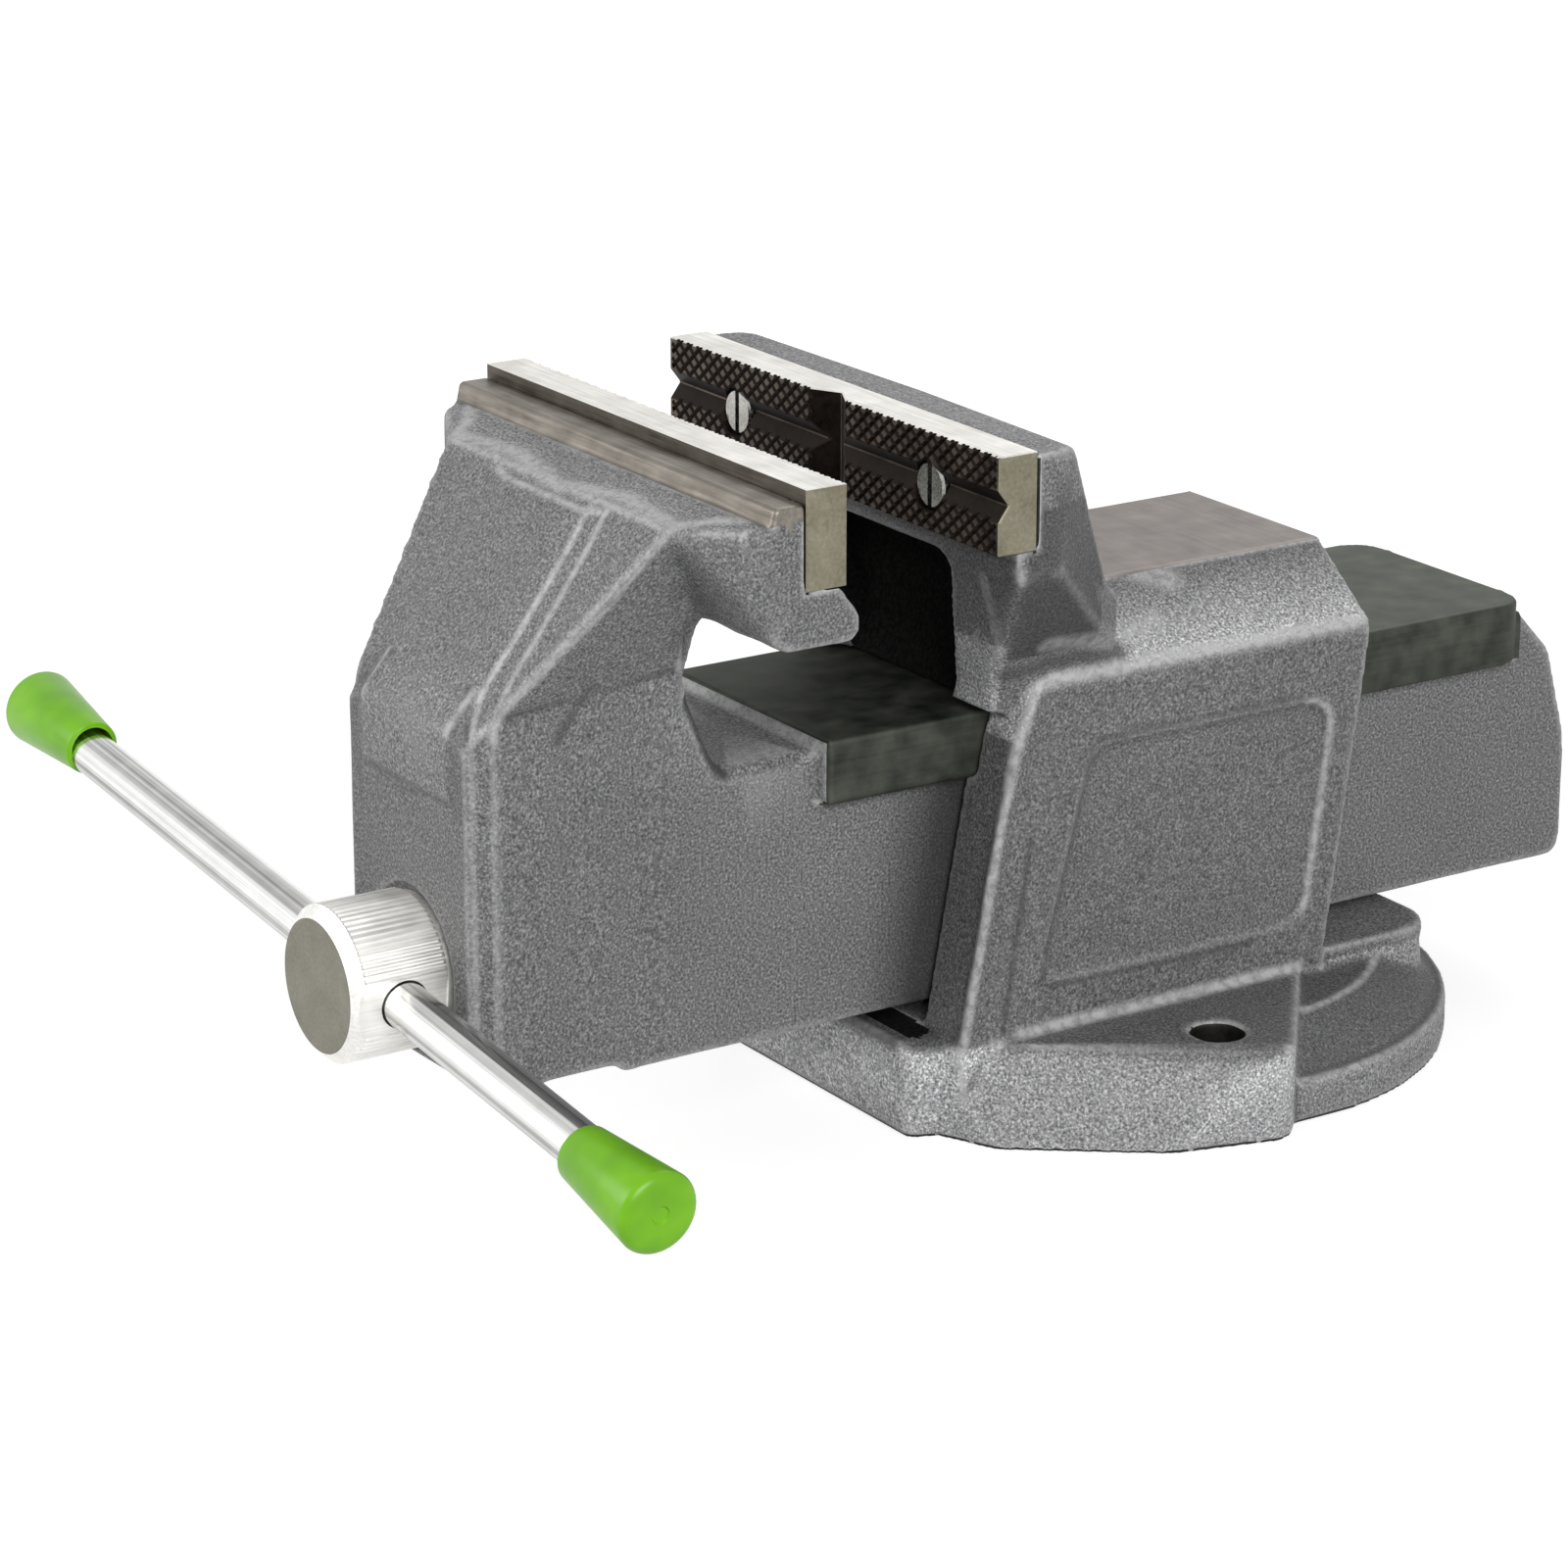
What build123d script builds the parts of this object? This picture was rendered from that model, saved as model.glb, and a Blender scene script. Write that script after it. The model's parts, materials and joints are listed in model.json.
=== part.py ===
"""Bench vise with a fixed base, modelled piece by piece in millimetres.

The origin is midway between the two bench bolt holes, on the underside of the base.
+X is the operator's right, +Y points from the handle to the rear, +Z is up.
"""
import os
from math import atan2, cos, degrees, radians, sin

from build123d import *

# Overall sizes
jaw_width = 150.0
jaw_height = 187.0          # bench to the top of the jaw plates
rest_opening = 44.0         # gap between the plates as modelled
max_opening = 150.0
throat_depth = 78.0         # top of the plates down to the top of the slide
grip_to_bolts = 71.0        # fixed gripping face to the line of bench bolts

# Clearances
running_gap = 0.05          # shaft in bush or nut, on the radius
slide_gap = 0.12            # machined rail in its passage
cast_gap = 0.9              # painted slide in the cast passage
seat_gap = 0.05             # assembled round pieces that do not turn
loose_gap = 0.4             # handle in its hole, on the radius
counterbore_gap = 0.4       # screw heads and washers in their counterbores
drill_gap = 0.5             # blind hole past the end of its screw
overrun = 1.0               # cuts past the faces they open
cutter_size = 600.0         # slabs that trim whole sides of a casting

# Rounds on cast edges
small_round = 2.0
edge_round = 4.0
soft_round = 8.0
wide_round = 14.0

# Jaw plates and their screws
plate_height = 25.0
plate_thickness = 11.5
level_groove_height = 8.0
level_groove_depth = 3.0
upright_groove_width = 17.0
upright_groove_depth = 4.5
plate_screw_spacing = 88.0
plate_screw_drop = 14.0     # below the plate's top
plate_screw_diameter = 8.0
plate_screw_head_diameter = 12.0
plate_screw_head_height = 6.0
plate_screw_head_sink = 1.2  # head below the gripping face
plate_screw_depth = 8.0     # thread in the casting
plate_screw_slot_width = 1.8
plate_screw_slot_depth = 2.4

# Slide
slide_width = 63.0
rail_overhang = 4.8         # rail past each side of the slide
rail_height = 17.0
rail_corner = 10.0
slide_height = 77.5         # rail top to slide bottom
slide_step = 4.0            # painted top of the slide below the rail's top
channel_side_gap = 2.0      # beside the inner washer
channel_height = 51.5       # above the slide's bottom
front_wall = 30.0
tail_wall = 21.0            # solid end of the slide under the rail
tail_bulge = 19.0           # painted tail behind the rail
tail_lean = 7.0             # tail's upper corner ahead of its end
tail_belly = 34.0           # widest part of the tail, above the slide's bottom
tail_round = 25.0
tail_corner = 5.0

# Moving jaw, measured ahead of or below its gripping face and top
column_reach = 77.0         # gripping face to the front of the column
column_flare = 2.0          # its front edges out beyond the slide's sides
column_edge = 4.0           # chamfer on the column's upright edges
jaw_bottom_relief = 2.5     # underside of the column above the slide's bottom
jaw_bottom_reach = 39.0     # rear end of that relief
strip_drop = 3.5            # machined strip below the plate top
strip_reach = 20.0
strip_step = 4.5            # down from the strip to the painted brow
strip_lean = 1.0
brow_reach = 36.0
brow_drop = 11.0
slope_foot_drop = 62.0
flare_width = 107.0         # under the brow, where the flare turns out to the head's ends
flare_end_reach = 24.5      # front corner of the head's ends
wing_root_drop = 57.0       # flare's lower end, at the column's front corner
wing_inner_reach = 45.0     # its underside on the side of the column
wing_throat_reach = 15.0    # end of its underside at the throat
wing_throat_drop = 46.0
wing_end_reach = 22.5       # underside at the head's ends
wing_end_drop = 34.0
chin_reach = 20.0           # beam under the plate
chin_height = 14.5          # below the plate
chin_bulge = 4.5            # roll past the gripping face
chin_roll_top = 8.0         # top of that roll, below the plate
chin_root = 1.5             # roll's start under the plate, behind the gripping face
throat_roof_reach = 14.5
throat_roof_drop = 44.5
throat_roof_end = 10.0      # where the roof meets the chin
throat_back_reach = 18.5
throat_back_drop = 57.0
throat_foot_reach = 8.0
throat_floor_below_rail = 3.5
rail_start = 20.5           # behind the gripping face
rail_ramp = 4.0             # painted ramp up to the rail
panel_proud = 2.0           # raised keystone panel on the front
panel_foot_width = 58.0
panel_shoulder_drop = 66.0  # where its sides turn upright
panel_top_width = 46.0
panel_flank = 6.5           # bevel beside the panel at its top
panel_top_margin = 2.0      # below the brow
panel_foot_margin = 2.0     # above the slide's bottom
panel_root = 2.0            # panel's root inside the column
badge_pad_proud = 0.8       # bare raised pad on the panel
badge_pad_width = 42.0
badge_pad_bottom_drop = 80.0
badge_pad_top_drop = 53.0
badge_pad_top_reach = 69.0
spot_face_margin = 2.0      # flat around the thrust washer

# Fixed jaw and body, measured behind or below the fixed gripping face and top
fixed_strip_drop = 1.0
fixed_lip = 6.0             # casting under the plate, set back from the face
fixed_lip_height = 5.0      # below the plate
fixed_crown = 25.0          # rear edge of the jaw's top
fixed_back_foot = 47.0
fixed_back_foot_drop = 44.0
fixed_end_depth = 20.0      # jaw's end face, from the gripping face
fixed_end_drop = 32.0
fixed_flare_end = 55.0      # where the jaw's flare meets the body
fixed_flare_drop = 72.0
fixed_flare_corner = 10.0
fixed_root = 77.0           # rear end of the jaw's root inside the body
fixed_root_drop = 76.5
neck_front = 20.0           # front wall under the jaw
neck_drop = 72.0
neck_width = 92.0
neck_hollow_width = 52.0    # cored hollow in that wall, above the rail
neck_hollow_top_width = 88.0
neck_hollow_top_drop = 32.0
neck_hollow_back = 31.0
body_width = 103.0
body_front_foot = 8.0
body_front = 23.0           # where the front turns back towards the anvil
body_front_drop = 83.0
body_front_top = 38.0
body_rear_top = 138.0
body_rear_foot = 125.0
shoulder_drop = 69.5
anvil_drop = 51.5
anvil_root_drop = 59.5      # jaw's root under the anvil's front edge
anvil_width = 56.0
side_panel_depth = 2.0
side_panel_front_foot = 28.0  # its front edge, at the level of the lugs
side_panel_front_top = 53.0   # and at the shoulder
side_panel_rear = 9.5
side_panel_top = 18.5       # below the shoulder
side_panel_bottom = 14.0    # above the lug
side_panel_corner = 7.0

# Base
base_thickness = 25.0
base_front = 73.8           # ahead of the bolt line
base_front_width = 84.0
lug_reach = 96.5            # middle of the bolt line to the end of a lug
lug_rear = 9.0              # rear corner of a lug, behind the bolt line
lug_corner = 9.0
lug_root_width = 90.0       # where the bowed front edge of the lugs starts
lug_root_front = 66.0
lug_bow_width = 160.0
lug_bow_front = 50.5
lug_bow_radius = 45.0
lug_rear_root = 46.0        # behind the bolt line
lug_edge_root = 57.0        # root of the straight front edge on a lug's top, out from the middle
lug_edge_root_front = 46.5  # ahead of the bolt line
lug_edge_end = 93.0
lug_edge_end_rear = 2.0     # behind the bolt line
lug_foot_reach = 81.0       # where the slope below that edge meets the foot of the bow
lug_foot_front = 32.0
bolt_spacing = 151.0
bolt_hole_diameter = 14.0
flange_radius = 89.0
flange_centre = 24.0        # behind the bolt line
flange_thickness = 12.0
skirt_foot_radius = 87.0    # sloping top of the rear flange
skirt_top_radius = 70.0
skirt_height = 10.0
foot_width = 100.0          # rear foot under the slide
foot_rear = 96.5            # behind the bolt line
slide_to_foot = 3.0
slide_to_floor = 5.5        # slide's bottom to the floor of its passage

# Spindle
screw_above_slide_bottom = 27.0
thread_diameter = 28.0
journal_step = 1.0          # journal past the thread, on the radius
screw_end_margin = 1.0
head_rim = 5.0              # head past the journal, on the radius
head_length = 26.0
head_chamfer = 3.0
handle_hole_from_back = 11.8
head_flat_depth = 1.5       # milled flat around each end of the handle hole
bush_wall = 3.0
thrust_washer_rim = 4.0     # washers and spring past the journal, on the radius
thrust_washer_thickness = 2.0
inner_washer_rim = 6.0
inner_washer_thickness = 2.0
disc_spring_height = 3.0
disc_spring_thickness = 2.0
disc_spring_rim = 5.0
disc_spring_bore_gap = 0.5  # around the journal
collar_wall = 7.0           # outside the thread
collar_length = 12.0
collar_pin_diameter = 6.0
collar_pin_inset = 0.5      # each end below the collar's surface

# Nut
nut_side_gap = 2.5          # in the hollow slide
nut_length = 60.0
nut_front = 54.0            # ahead of the bolt line
nut_top_gap = 4.0           # below the channel's ceiling
nut_bolt_diameter = 10.0
nut_bolt_spacing = 30.0
nut_bolt_head_diameter = 16.0
nut_bolt_head_height = 10.0
nut_bolt_sink = 3.0         # head above the underside of the base
nut_bolt_to_screw = 2.0     # wall between a bolt's end and the spindle
nut_bolt_socket = 8.0
nut_bolt_socket_depth = 5.0
nut_washer_diameter = 20.0
nut_washer_thickness = 2.0

# Handle
handle_diameter = 12.0
handle_length = 326.0       # over both caps
handle_offset = -25.5       # slid towards the operator's left
handle_tilt = 5.8           # degrees, right end lower
cap_length = 34.0
cap_wall = 1.5              # at the mouth
cap_mouth_round = 0.8
cap_end_diameter = 21.0
cap_end_wall = 6.0
cap_end_round = 2.5

# Levels and lines that the pieces share
rail_width = slide_width + 2 * rail_overhang
rail_top = jaw_height - throat_depth
rail_bottom = rail_top - rail_height
slide_bottom = rail_top - slide_height
screw_z = slide_bottom + screw_above_slide_bottom
channel_top = slide_bottom + channel_height
passage_floor = slide_bottom - slide_to_floor
foot_top = slide_bottom - slide_to_foot
fixed_grip = -grip_to_bolts
moving_grip = fixed_grip - rest_opening
column_front = moving_grip - column_reach
wall_back = column_front + front_wall
nut_rear = nut_length - nut_front
opening_travel = max_opening - rest_opening
screw_end = nut_rear + opening_travel + screw_end_margin
channel_end = screw_end + screw_end_margin
rail_end = channel_end + tail_wall
tail_end = rail_end + tail_bulge
head_back = column_front - thrust_washer_thickness
head_front = head_back - head_length
handle_y = head_back - handle_hole_from_back
inner_washer_back = wall_back + inner_washer_thickness
collar_front = inner_washer_back + disc_spring_height
collar_back = collar_front + collar_length
collar_middle = (collar_front + collar_back) / 2
plate_mid_z = jaw_height - plate_height / 2
plate_screw_z = jaw_height - plate_screw_drop
plate_bottom = jaw_height - plate_height
nut_bolt_top = screw_z - thread_diameter / 2 - nut_bolt_to_screw
journal_diameter = thread_diameter + 2 * journal_step
head_diameter = journal_diameter + 2 * head_rim
bush_diameter = journal_diameter + 2 * (running_gap + bush_wall)
thrust_washer_diameter = journal_diameter + 2 * thrust_washer_rim
inner_washer_diameter = journal_diameter + 2 * inner_washer_rim
disc_spring_outer = journal_diameter + 2 * disc_spring_rim
disc_spring_inner = journal_diameter + 2 * disc_spring_bore_gap
collar_diameter = thread_diameter + 2 * collar_wall
collar_pin_length = collar_diameter - 2 * collar_pin_inset
channel_width = inner_washer_diameter + 2 * channel_side_gap
nut_width = channel_width - 2 * nut_side_gap
cap_mouth_diameter = handle_diameter + 2 * cap_wall
chin_bottom = plate_bottom - chin_height
half_jaw = jaw_width / 2
half_slide = slide_width / 2
half_column = half_slide + column_flare
half_body = body_width / 2


def outline(corners):
    """Closed face from corners (u, v) or (u, v, radius)."""
    points = [corner[:2] for corner in corners]
    radii = [corner[2] if len(corner) > 2 else 0 for corner in corners]
    return make_face(FilletPolyline(*points, radius=radii, close=True))


def along_x(corners, half_width):
    """Prism across the vise from an outline in y and z."""
    return extrude(Plane.YZ * outline(corners), half_width, both=True)


def along_y(corners, start, end):
    """Prism along the slide from an outline in x and z."""
    return extrude(Plane.XZ.offset(-end) * outline(corners), end - start)


def along_z(corners, bottom, top):
    """Upright prism from an outline in x and y."""
    return extrude(Plane.XY.offset(bottom) * outline(corners), top - bottom)


def mirrored(corners):
    """Right half of an outline, from its last corner round to its mirror image."""
    left = [(-corner[0], *corner[1:]) for corner in reversed(corners)]
    return list(corners) + left


def rod_y(radius, start, end, x=0.0, z=0.0):
    """Round bar along +Y."""
    plane = Plane(origin=(x, start, z), x_dir=(1, 0, 0), z_dir=(0, 1, 0))
    return extrude(plane * Circle(radius), end - start)


def rod_z(radius, bottom, top, x=0.0, y=0.0):
    """Upright round bar."""
    return Pos(x, y, bottom) * extrude(Circle(radius), top - bottom)


def block(x_half, y_start, y_end, bottom, top):
    """Box centred on the middle plane."""
    middle = Pos(0, (y_start + y_end) / 2, (bottom + top) / 2)
    return middle * Box(2 * x_half, y_end - y_start, top - bottom)


def slab_on(first, second, third):
    """Thick plate on the plane through three points, on the side from which they turn anticlockwise."""
    side = Vector(second) - Vector(first)
    normal = side.cross(Vector(third) - Vector(first))
    plane = Plane(origin=first, x_dir=side, z_dir=normal)
    return extrude(plane * Rectangle(cutter_size, cutter_size), cutter_size)


def both_sides(shape):
    """A cut on the right side and its mirror image on the left."""
    return [shape, mirror(shape, Plane.YZ)]


def plate_screw_places():
    """Middle of each screw on the gripping face, left then right."""
    return [("left", -plate_screw_spacing / 2), ("right", plate_screw_spacing / 2)]


def bar_between(radius, start, end, x):
    """Round bar at the height of the plate screws, from either end."""
    return rod_y(radius, min(start, end), max(start, end), x, plate_screw_z)


def screw_hole(x, face_y, into):
    """Blind hole for a plate screw in a casting; into is +1 or -1 along Y."""
    start = face_y + into * plate_thickness
    end = start + into * (plate_screw_depth + drill_gap)
    return bar_between(plate_screw_diameter / 2 + seat_gap, start, end, x)


def plate_grooves(face_y, into):
    """Level and upright V grooves across a gripping face."""
    groove_top = plate_mid_z + level_groove_height / 2
    groove_bottom = plate_mid_z - level_groove_height / 2
    level_groove = along_x([
        (face_y, groove_bottom),
        (face_y, groove_top),
        (face_y + into * level_groove_depth, plate_mid_z)], half_jaw + overrun)
    upright_groove = along_z([
        (-upright_groove_width / 2, face_y),
        (upright_groove_width / 2, face_y),
        (0, face_y + into * upright_groove_depth)], plate_bottom - overrun, jaw_height + overrun)
    return [level_groove, upright_groove]


def jaw_plate(face_y, into):
    """Hardened plate with its counterbored screw holes; into points away from the work."""
    back_y = face_y + into * plate_thickness
    plate = block(half_jaw, min(face_y, back_y), max(face_y, back_y), plate_bottom, jaw_height)
    seat_y = face_y + into * (plate_screw_head_sink + plate_screw_head_height)
    for _, x in plate_screw_places():
        plate -= bar_between(plate_screw_head_diameter / 2 + counterbore_gap, face_y, seat_y, x)
        plate -= bar_between(plate_screw_diameter / 2 + counterbore_gap, seat_y, back_y, x)
    return plate


def plate_screw(x, face_y, into):
    """Slotted cylinder-head screw that holds a jaw plate."""
    top_y = face_y + into * plate_screw_head_sink
    seat_y = top_y + into * plate_screw_head_height
    end_y = face_y + into * (plate_thickness + plate_screw_depth)
    slot_y = top_y + into * plate_screw_slot_depth
    head = bar_between(plate_screw_head_diameter / 2, top_y, seat_y, x)
    shank = bar_between(plate_screw_diameter / 2, seat_y, end_y, x)
    slot = Pos(x, (top_y + slot_y) / 2, plate_screw_z) * Box(
        plate_screw_slot_width, plate_screw_slot_depth, plate_screw_head_diameter + overrun)
    return head + shank - slot


def front_slope(proud):
    """Corners of the column's front and slope, moved forward, from the brow down to the foot."""
    return [(moving_grip - brow_reach - proud, jaw_height - brow_drop),
            (column_front - proud, jaw_height - slope_foot_drop, soft_round)]


def head_top():
    """Corners of the moving head's top, from the plate seat forward to the brow."""
    strip_top = jaw_height - strip_drop
    return [(moving_grip - plate_thickness, plate_bottom),
            (moving_grip - plate_thickness, strip_top),
            (moving_grip - strip_reach, strip_top),
            (moving_grip - strip_reach - strip_lean, strip_top - strip_step)]


def chin():
    """Beam and roll under the moving plate, across the whole jaw."""
    return along_x([
        (moving_grip - chin_reach, plate_bottom),
        (moving_grip - chin_reach, chin_bottom, edge_round),
        (moving_grip + chin_bulge, chin_bottom, edge_round),
        (moving_grip + chin_bulge, plate_bottom - chin_roll_top, small_round),
        (moving_grip - chin_root, plate_bottom)], half_jaw)


def moving_head():
    """Flared head: its plan and side outlines cut each other, and two slanting planes trim each wing."""
    plan = along_z(mirrored([
        (half_jaw, moving_grip),
        (half_jaw, moving_grip - flare_end_reach, edge_round),
        (flare_width / 2, moving_grip - brow_reach, soft_round),
        (half_column, column_front + column_edge),
        (half_column - column_edge, column_front)]), rail_top, jaw_height)
    side = along_x(head_top() + front_slope(0) + [
        (column_front, rail_top),
        (moving_grip - chin_reach, rail_top),
        (moving_grip - chin_reach, plate_bottom)], half_jaw)
    root = (half_column, column_front + column_edge, jaw_height - wing_root_drop)
    inner = (half_slide, moving_grip - wing_inner_reach, jaw_height - wing_root_drop)
    brow = (flare_width / 2, moving_grip - brow_reach, jaw_height - brow_drop)
    throat = (half_slide, moving_grip - wing_throat_reach, jaw_height - wing_throat_drop)
    end = (half_jaw, moving_grip - wing_end_reach, jaw_height - wing_end_drop)
    underside = slab_on(root, inner, brow) & slab_on(brow, throat, end)
    return (plan & side) - both_sides(underside)


def column_and_slide():
    """Middle of the moving casting: column, throat and slide, cut from side and plan outlines."""
    floor = rail_top - throat_floor_below_rail
    column_bottom = slide_bottom + jaw_bottom_relief
    side = along_x(head_top() + front_slope(0) + [
        (column_front, column_bottom, small_round),
        (moving_grip - jaw_bottom_reach, column_bottom),
        (moving_grip - jaw_bottom_reach + jaw_bottom_relief, slide_bottom),
        (tail_end, slide_bottom, tail_corner),
        (tail_end, slide_bottom + tail_belly, tail_round),
        (tail_end - tail_lean, rail_bottom, soft_round),
        (rail_end, rail_top - slide_step, edge_round),
        (moving_grip + rail_start, rail_top - slide_step),
        (moving_grip + rail_start - rail_ramp, floor),
        (moving_grip - throat_foot_reach, floor, edge_round),
        (moving_grip - throat_back_reach, jaw_height - throat_back_drop, edge_round),
        (moving_grip - throat_roof_reach, jaw_height - throat_roof_drop, small_round),
        (moving_grip - throat_roof_end, chin_bottom)], half_column)
    plan = along_z(mirrored([
        (half_slide, tail_end + overrun),
        (half_slide, moving_grip - throat_back_reach),
        (half_column, column_front + column_edge),
        (half_column - column_edge, column_front)]), slide_bottom - overrun, jaw_height)
    return side & plan


def front_panel():
    """Raised keystone panel on the column's front and slope, bevelled beside the slope."""
    foot = slide_bottom + jaw_bottom_relief + panel_foot_margin
    slab = along_x(front_slope(panel_proud) + [
        (column_front - panel_proud, foot),
        (column_front + panel_root, foot),
        (column_front + panel_root, jaw_height - slope_foot_drop),
        (moving_grip - brow_reach, jaw_height - brow_drop - overrun)], half_slide)
    top = jaw_height - brow_drop - panel_top_margin
    keystone = along_y(mirrored([
        (panel_top_width / 2 + panel_flank, top),
        (panel_foot_width / 2, jaw_height - panel_shoulder_drop),
        (panel_foot_width / 2, foot)]), column_front - panel_proud - overrun, moving_grip)
    flank = slab_on(
        (panel_top_width / 2, moving_grip - brow_reach - panel_proud, top),
        (panel_foot_width / 2, column_front - panel_proud, jaw_height - panel_shoulder_drop),
        (panel_top_width / 2 + panel_flank, moving_grip - brow_reach, top))
    return (slab & keystone) - both_sides(flank)


def badge_pad():
    """Bare raised pad where the slope meets the column's front."""
    front = column_front - panel_proud - badge_pad_proud
    return along_x([
        (front, jaw_height - badge_pad_bottom_drop),
        (front, jaw_height - slope_foot_drop, edge_round),
        (moving_grip - badge_pad_top_reach - panel_proud - badge_pad_proud, jaw_height - badge_pad_top_drop),
        (column_front + panel_root, jaw_height - slope_foot_drop),
        (column_front + panel_root, jaw_height - badge_pad_bottom_drop)], badge_pad_width / 2)


def moving_jaw():
    """Moving casting with its hollow slide."""
    rail = block(rail_width / 2, moving_grip + rail_start, rail_end, rail_bottom, rail_top)
    rail = fillet(rail.edges().filter_by(Axis.Z).group_by(Axis.Y)[-1], rail_corner)
    casting = column_and_slide() + [moving_head(), chin(), front_panel(), badge_pad(), rail]
    casting -= block(channel_width / 2, wall_back, channel_end, slide_bottom - overrun, channel_top)
    spot_face = thrust_washer_diameter / 2 + spot_face_margin
    casting -= rod_y(spot_face, head_front, column_front, 0, screw_z)
    casting -= rod_y(bush_diameter / 2 + seat_gap, head_front, wall_back, 0, screw_z)
    for _, x in plate_screw_places():
        casting -= screw_hole(x, moving_grip, -1)
    return casting


def fixed_head():
    """Flared head of the fixed jaw: plan, side and front outlines cut each other; its neck is hollow."""
    plan = along_z(mirrored([
        (half_jaw, fixed_grip + fixed_lip),
        (half_jaw, fixed_grip + fixed_end_depth, edge_round),
        (half_body, fixed_grip + fixed_flare_end, soft_round),
        (anvil_width / 2, fixed_grip + fixed_flare_end)]), rail_top, jaw_height)
    side = along_x([
        (fixed_grip + plate_thickness, plate_bottom),
        (fixed_grip + plate_thickness, jaw_height - fixed_strip_drop),
        (fixed_grip + fixed_crown, jaw_height - fixed_strip_drop, edge_round),
        (fixed_grip + fixed_back_foot, jaw_height - fixed_back_foot_drop, wide_round),
        (fixed_grip + fixed_root, jaw_height - anvil_root_drop),
        (fixed_grip + fixed_root, jaw_height - fixed_root_drop),
        (fixed_grip + neck_front, jaw_height - fixed_root_drop),
        (fixed_grip + neck_front, jaw_height - neck_drop, soft_round),
        (fixed_grip + fixed_lip, plate_bottom - fixed_lip_height, small_round),
        (fixed_grip + fixed_lip, plate_bottom)], half_jaw)
    front = along_y(mirrored([
        (half_jaw, jaw_height),
        (half_jaw, jaw_height - fixed_end_drop, edge_round),
        (neck_width / 2, jaw_height - fixed_flare_drop, fixed_flare_corner),
        (neck_width / 2, rail_top)]), fixed_grip, fixed_grip + fixed_root)
    hollow = along_y(mirrored([
        (neck_hollow_top_width / 2, jaw_height - neck_hollow_top_drop, edge_round),
        (neck_hollow_width / 2, rail_top)]), fixed_grip, fixed_grip + neck_hollow_back)
    return (plan & side & front) - hollow


def fixed_trunk():
    """Body around the slide, with sloping shoulders, the anvil and a bent front."""
    shoulder = jaw_height - shoulder_drop
    side = along_x([
        (fixed_grip + body_front_foot, base_thickness - overrun),
        (fixed_grip + body_front, jaw_height - body_front_drop, soft_round),
        (fixed_grip + body_front_top, jaw_height - anvil_drop),
        (fixed_grip + body_rear_top, jaw_height - anvil_drop),
        (fixed_grip + body_rear_top, shoulder, edge_round),
        (fixed_grip + body_rear_foot, base_thickness - overrun)], half_body)
    front = along_y(mirrored([
        (anvil_width / 2, jaw_height - anvil_drop),
        (half_body, shoulder, edge_round),
        (half_body, base_thickness - overrun)]), fixed_grip, fixed_grip + body_rear_top)
    return side & front


def side_panel():
    """Shallow pocket on the right side of the body, its ends leaning with the body's."""
    top = jaw_height - shoulder_drop - side_panel_top
    bottom = base_thickness + side_panel_bottom
    height = jaw_height - shoulder_drop - base_thickness
    front_lean = (side_panel_front_top - side_panel_front_foot) / height
    rear_lean = (body_rear_top - body_rear_foot) / height

    def front_at(z):
        return fixed_grip + side_panel_front_foot + (z - base_thickness) * front_lean

    def rear_at(z):
        return fixed_grip + body_rear_foot + (z - base_thickness) * rear_lean - side_panel_rear

    face = outline([
        (front_at(bottom), bottom, side_panel_corner),
        (front_at(top), top, side_panel_corner),
        (rear_at(top), top, side_panel_corner),
        (rear_at(bottom), bottom, side_panel_corner)])
    return extrude(Plane.YZ.offset(half_body - side_panel_depth) * face, side_panel_depth + overrun)


def base():
    """Base plate: front block, two bench lugs, round rear flange and the foot under the slide."""
    front_block = along_z(mirrored([
        (base_front_width / 2, -base_front, edge_round),
        (lug_root_width / 2, -lug_root_front),
        (lug_bow_width / 2, -lug_bow_front, lug_bow_radius),
        (lug_reach, lug_rear, lug_corner),
        (half_body, lug_rear_root)]), 0, base_thickness)
    lug_slope = slab_on((lug_edge_end, lug_edge_end_rear, base_thickness),
                        (lug_edge_root, -lug_edge_root_front, base_thickness),
                        (lug_foot_reach, -lug_foot_front, 0))
    middle = front_block & block(half_body, -base_front, lug_rear_root, 0, base_thickness)
    front_block = front_block - both_sides(lug_slope) + middle
    flange = rod_z(flange_radius, 0, flange_thickness, 0, flange_centre)
    skirt_angle = degrees(atan2(skirt_foot_radius - skirt_top_radius, skirt_height))
    skirt = extrude(Circle(skirt_foot_radius), skirt_height, taper=skirt_angle)
    foot = along_z(mirrored([
        (foot_width / 2, 0),
        (foot_width / 2, foot_rear, wide_round)]), 0, foot_top)
    return front_block + [flange, Pos(0, flange_centre, flange_thickness) * skirt, foot]


def fixed_jaw_body():
    """Fixed casting with the passage for the slide."""
    casting = base() + [fixed_trunk(), fixed_head()]
    front = -base_front - overrun
    rear = fixed_grip + body_rear_top + overrun
    casting -= block(rail_width / 2 + slide_gap, front, rear, rail_bottom - slide_gap, rail_top + slide_gap)
    casting -= block(half_slide + cast_gap, front, rear, passage_floor, rail_bottom)
    casting -= both_sides(side_panel())
    bolt_hole = rod_z(bolt_hole_diameter / 2, -overrun, base_thickness + overrun, bolt_spacing / 2, 0)
    casting -= both_sides(bolt_hole)
    seat_z = nut_bolt_sink + nut_bolt_head_height + nut_washer_thickness
    for y in nut_bolt_places():
        casting -= rod_z(nut_washer_diameter / 2 + counterbore_gap, -overrun, seat_z, 0, y)
        casting -= rod_z(nut_bolt_diameter / 2 + counterbore_gap, seat_z, passage_floor + overrun, 0, y)
    for _, x in plate_screw_places():
        casting -= screw_hole(x, fixed_grip, 1)
    return casting


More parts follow.
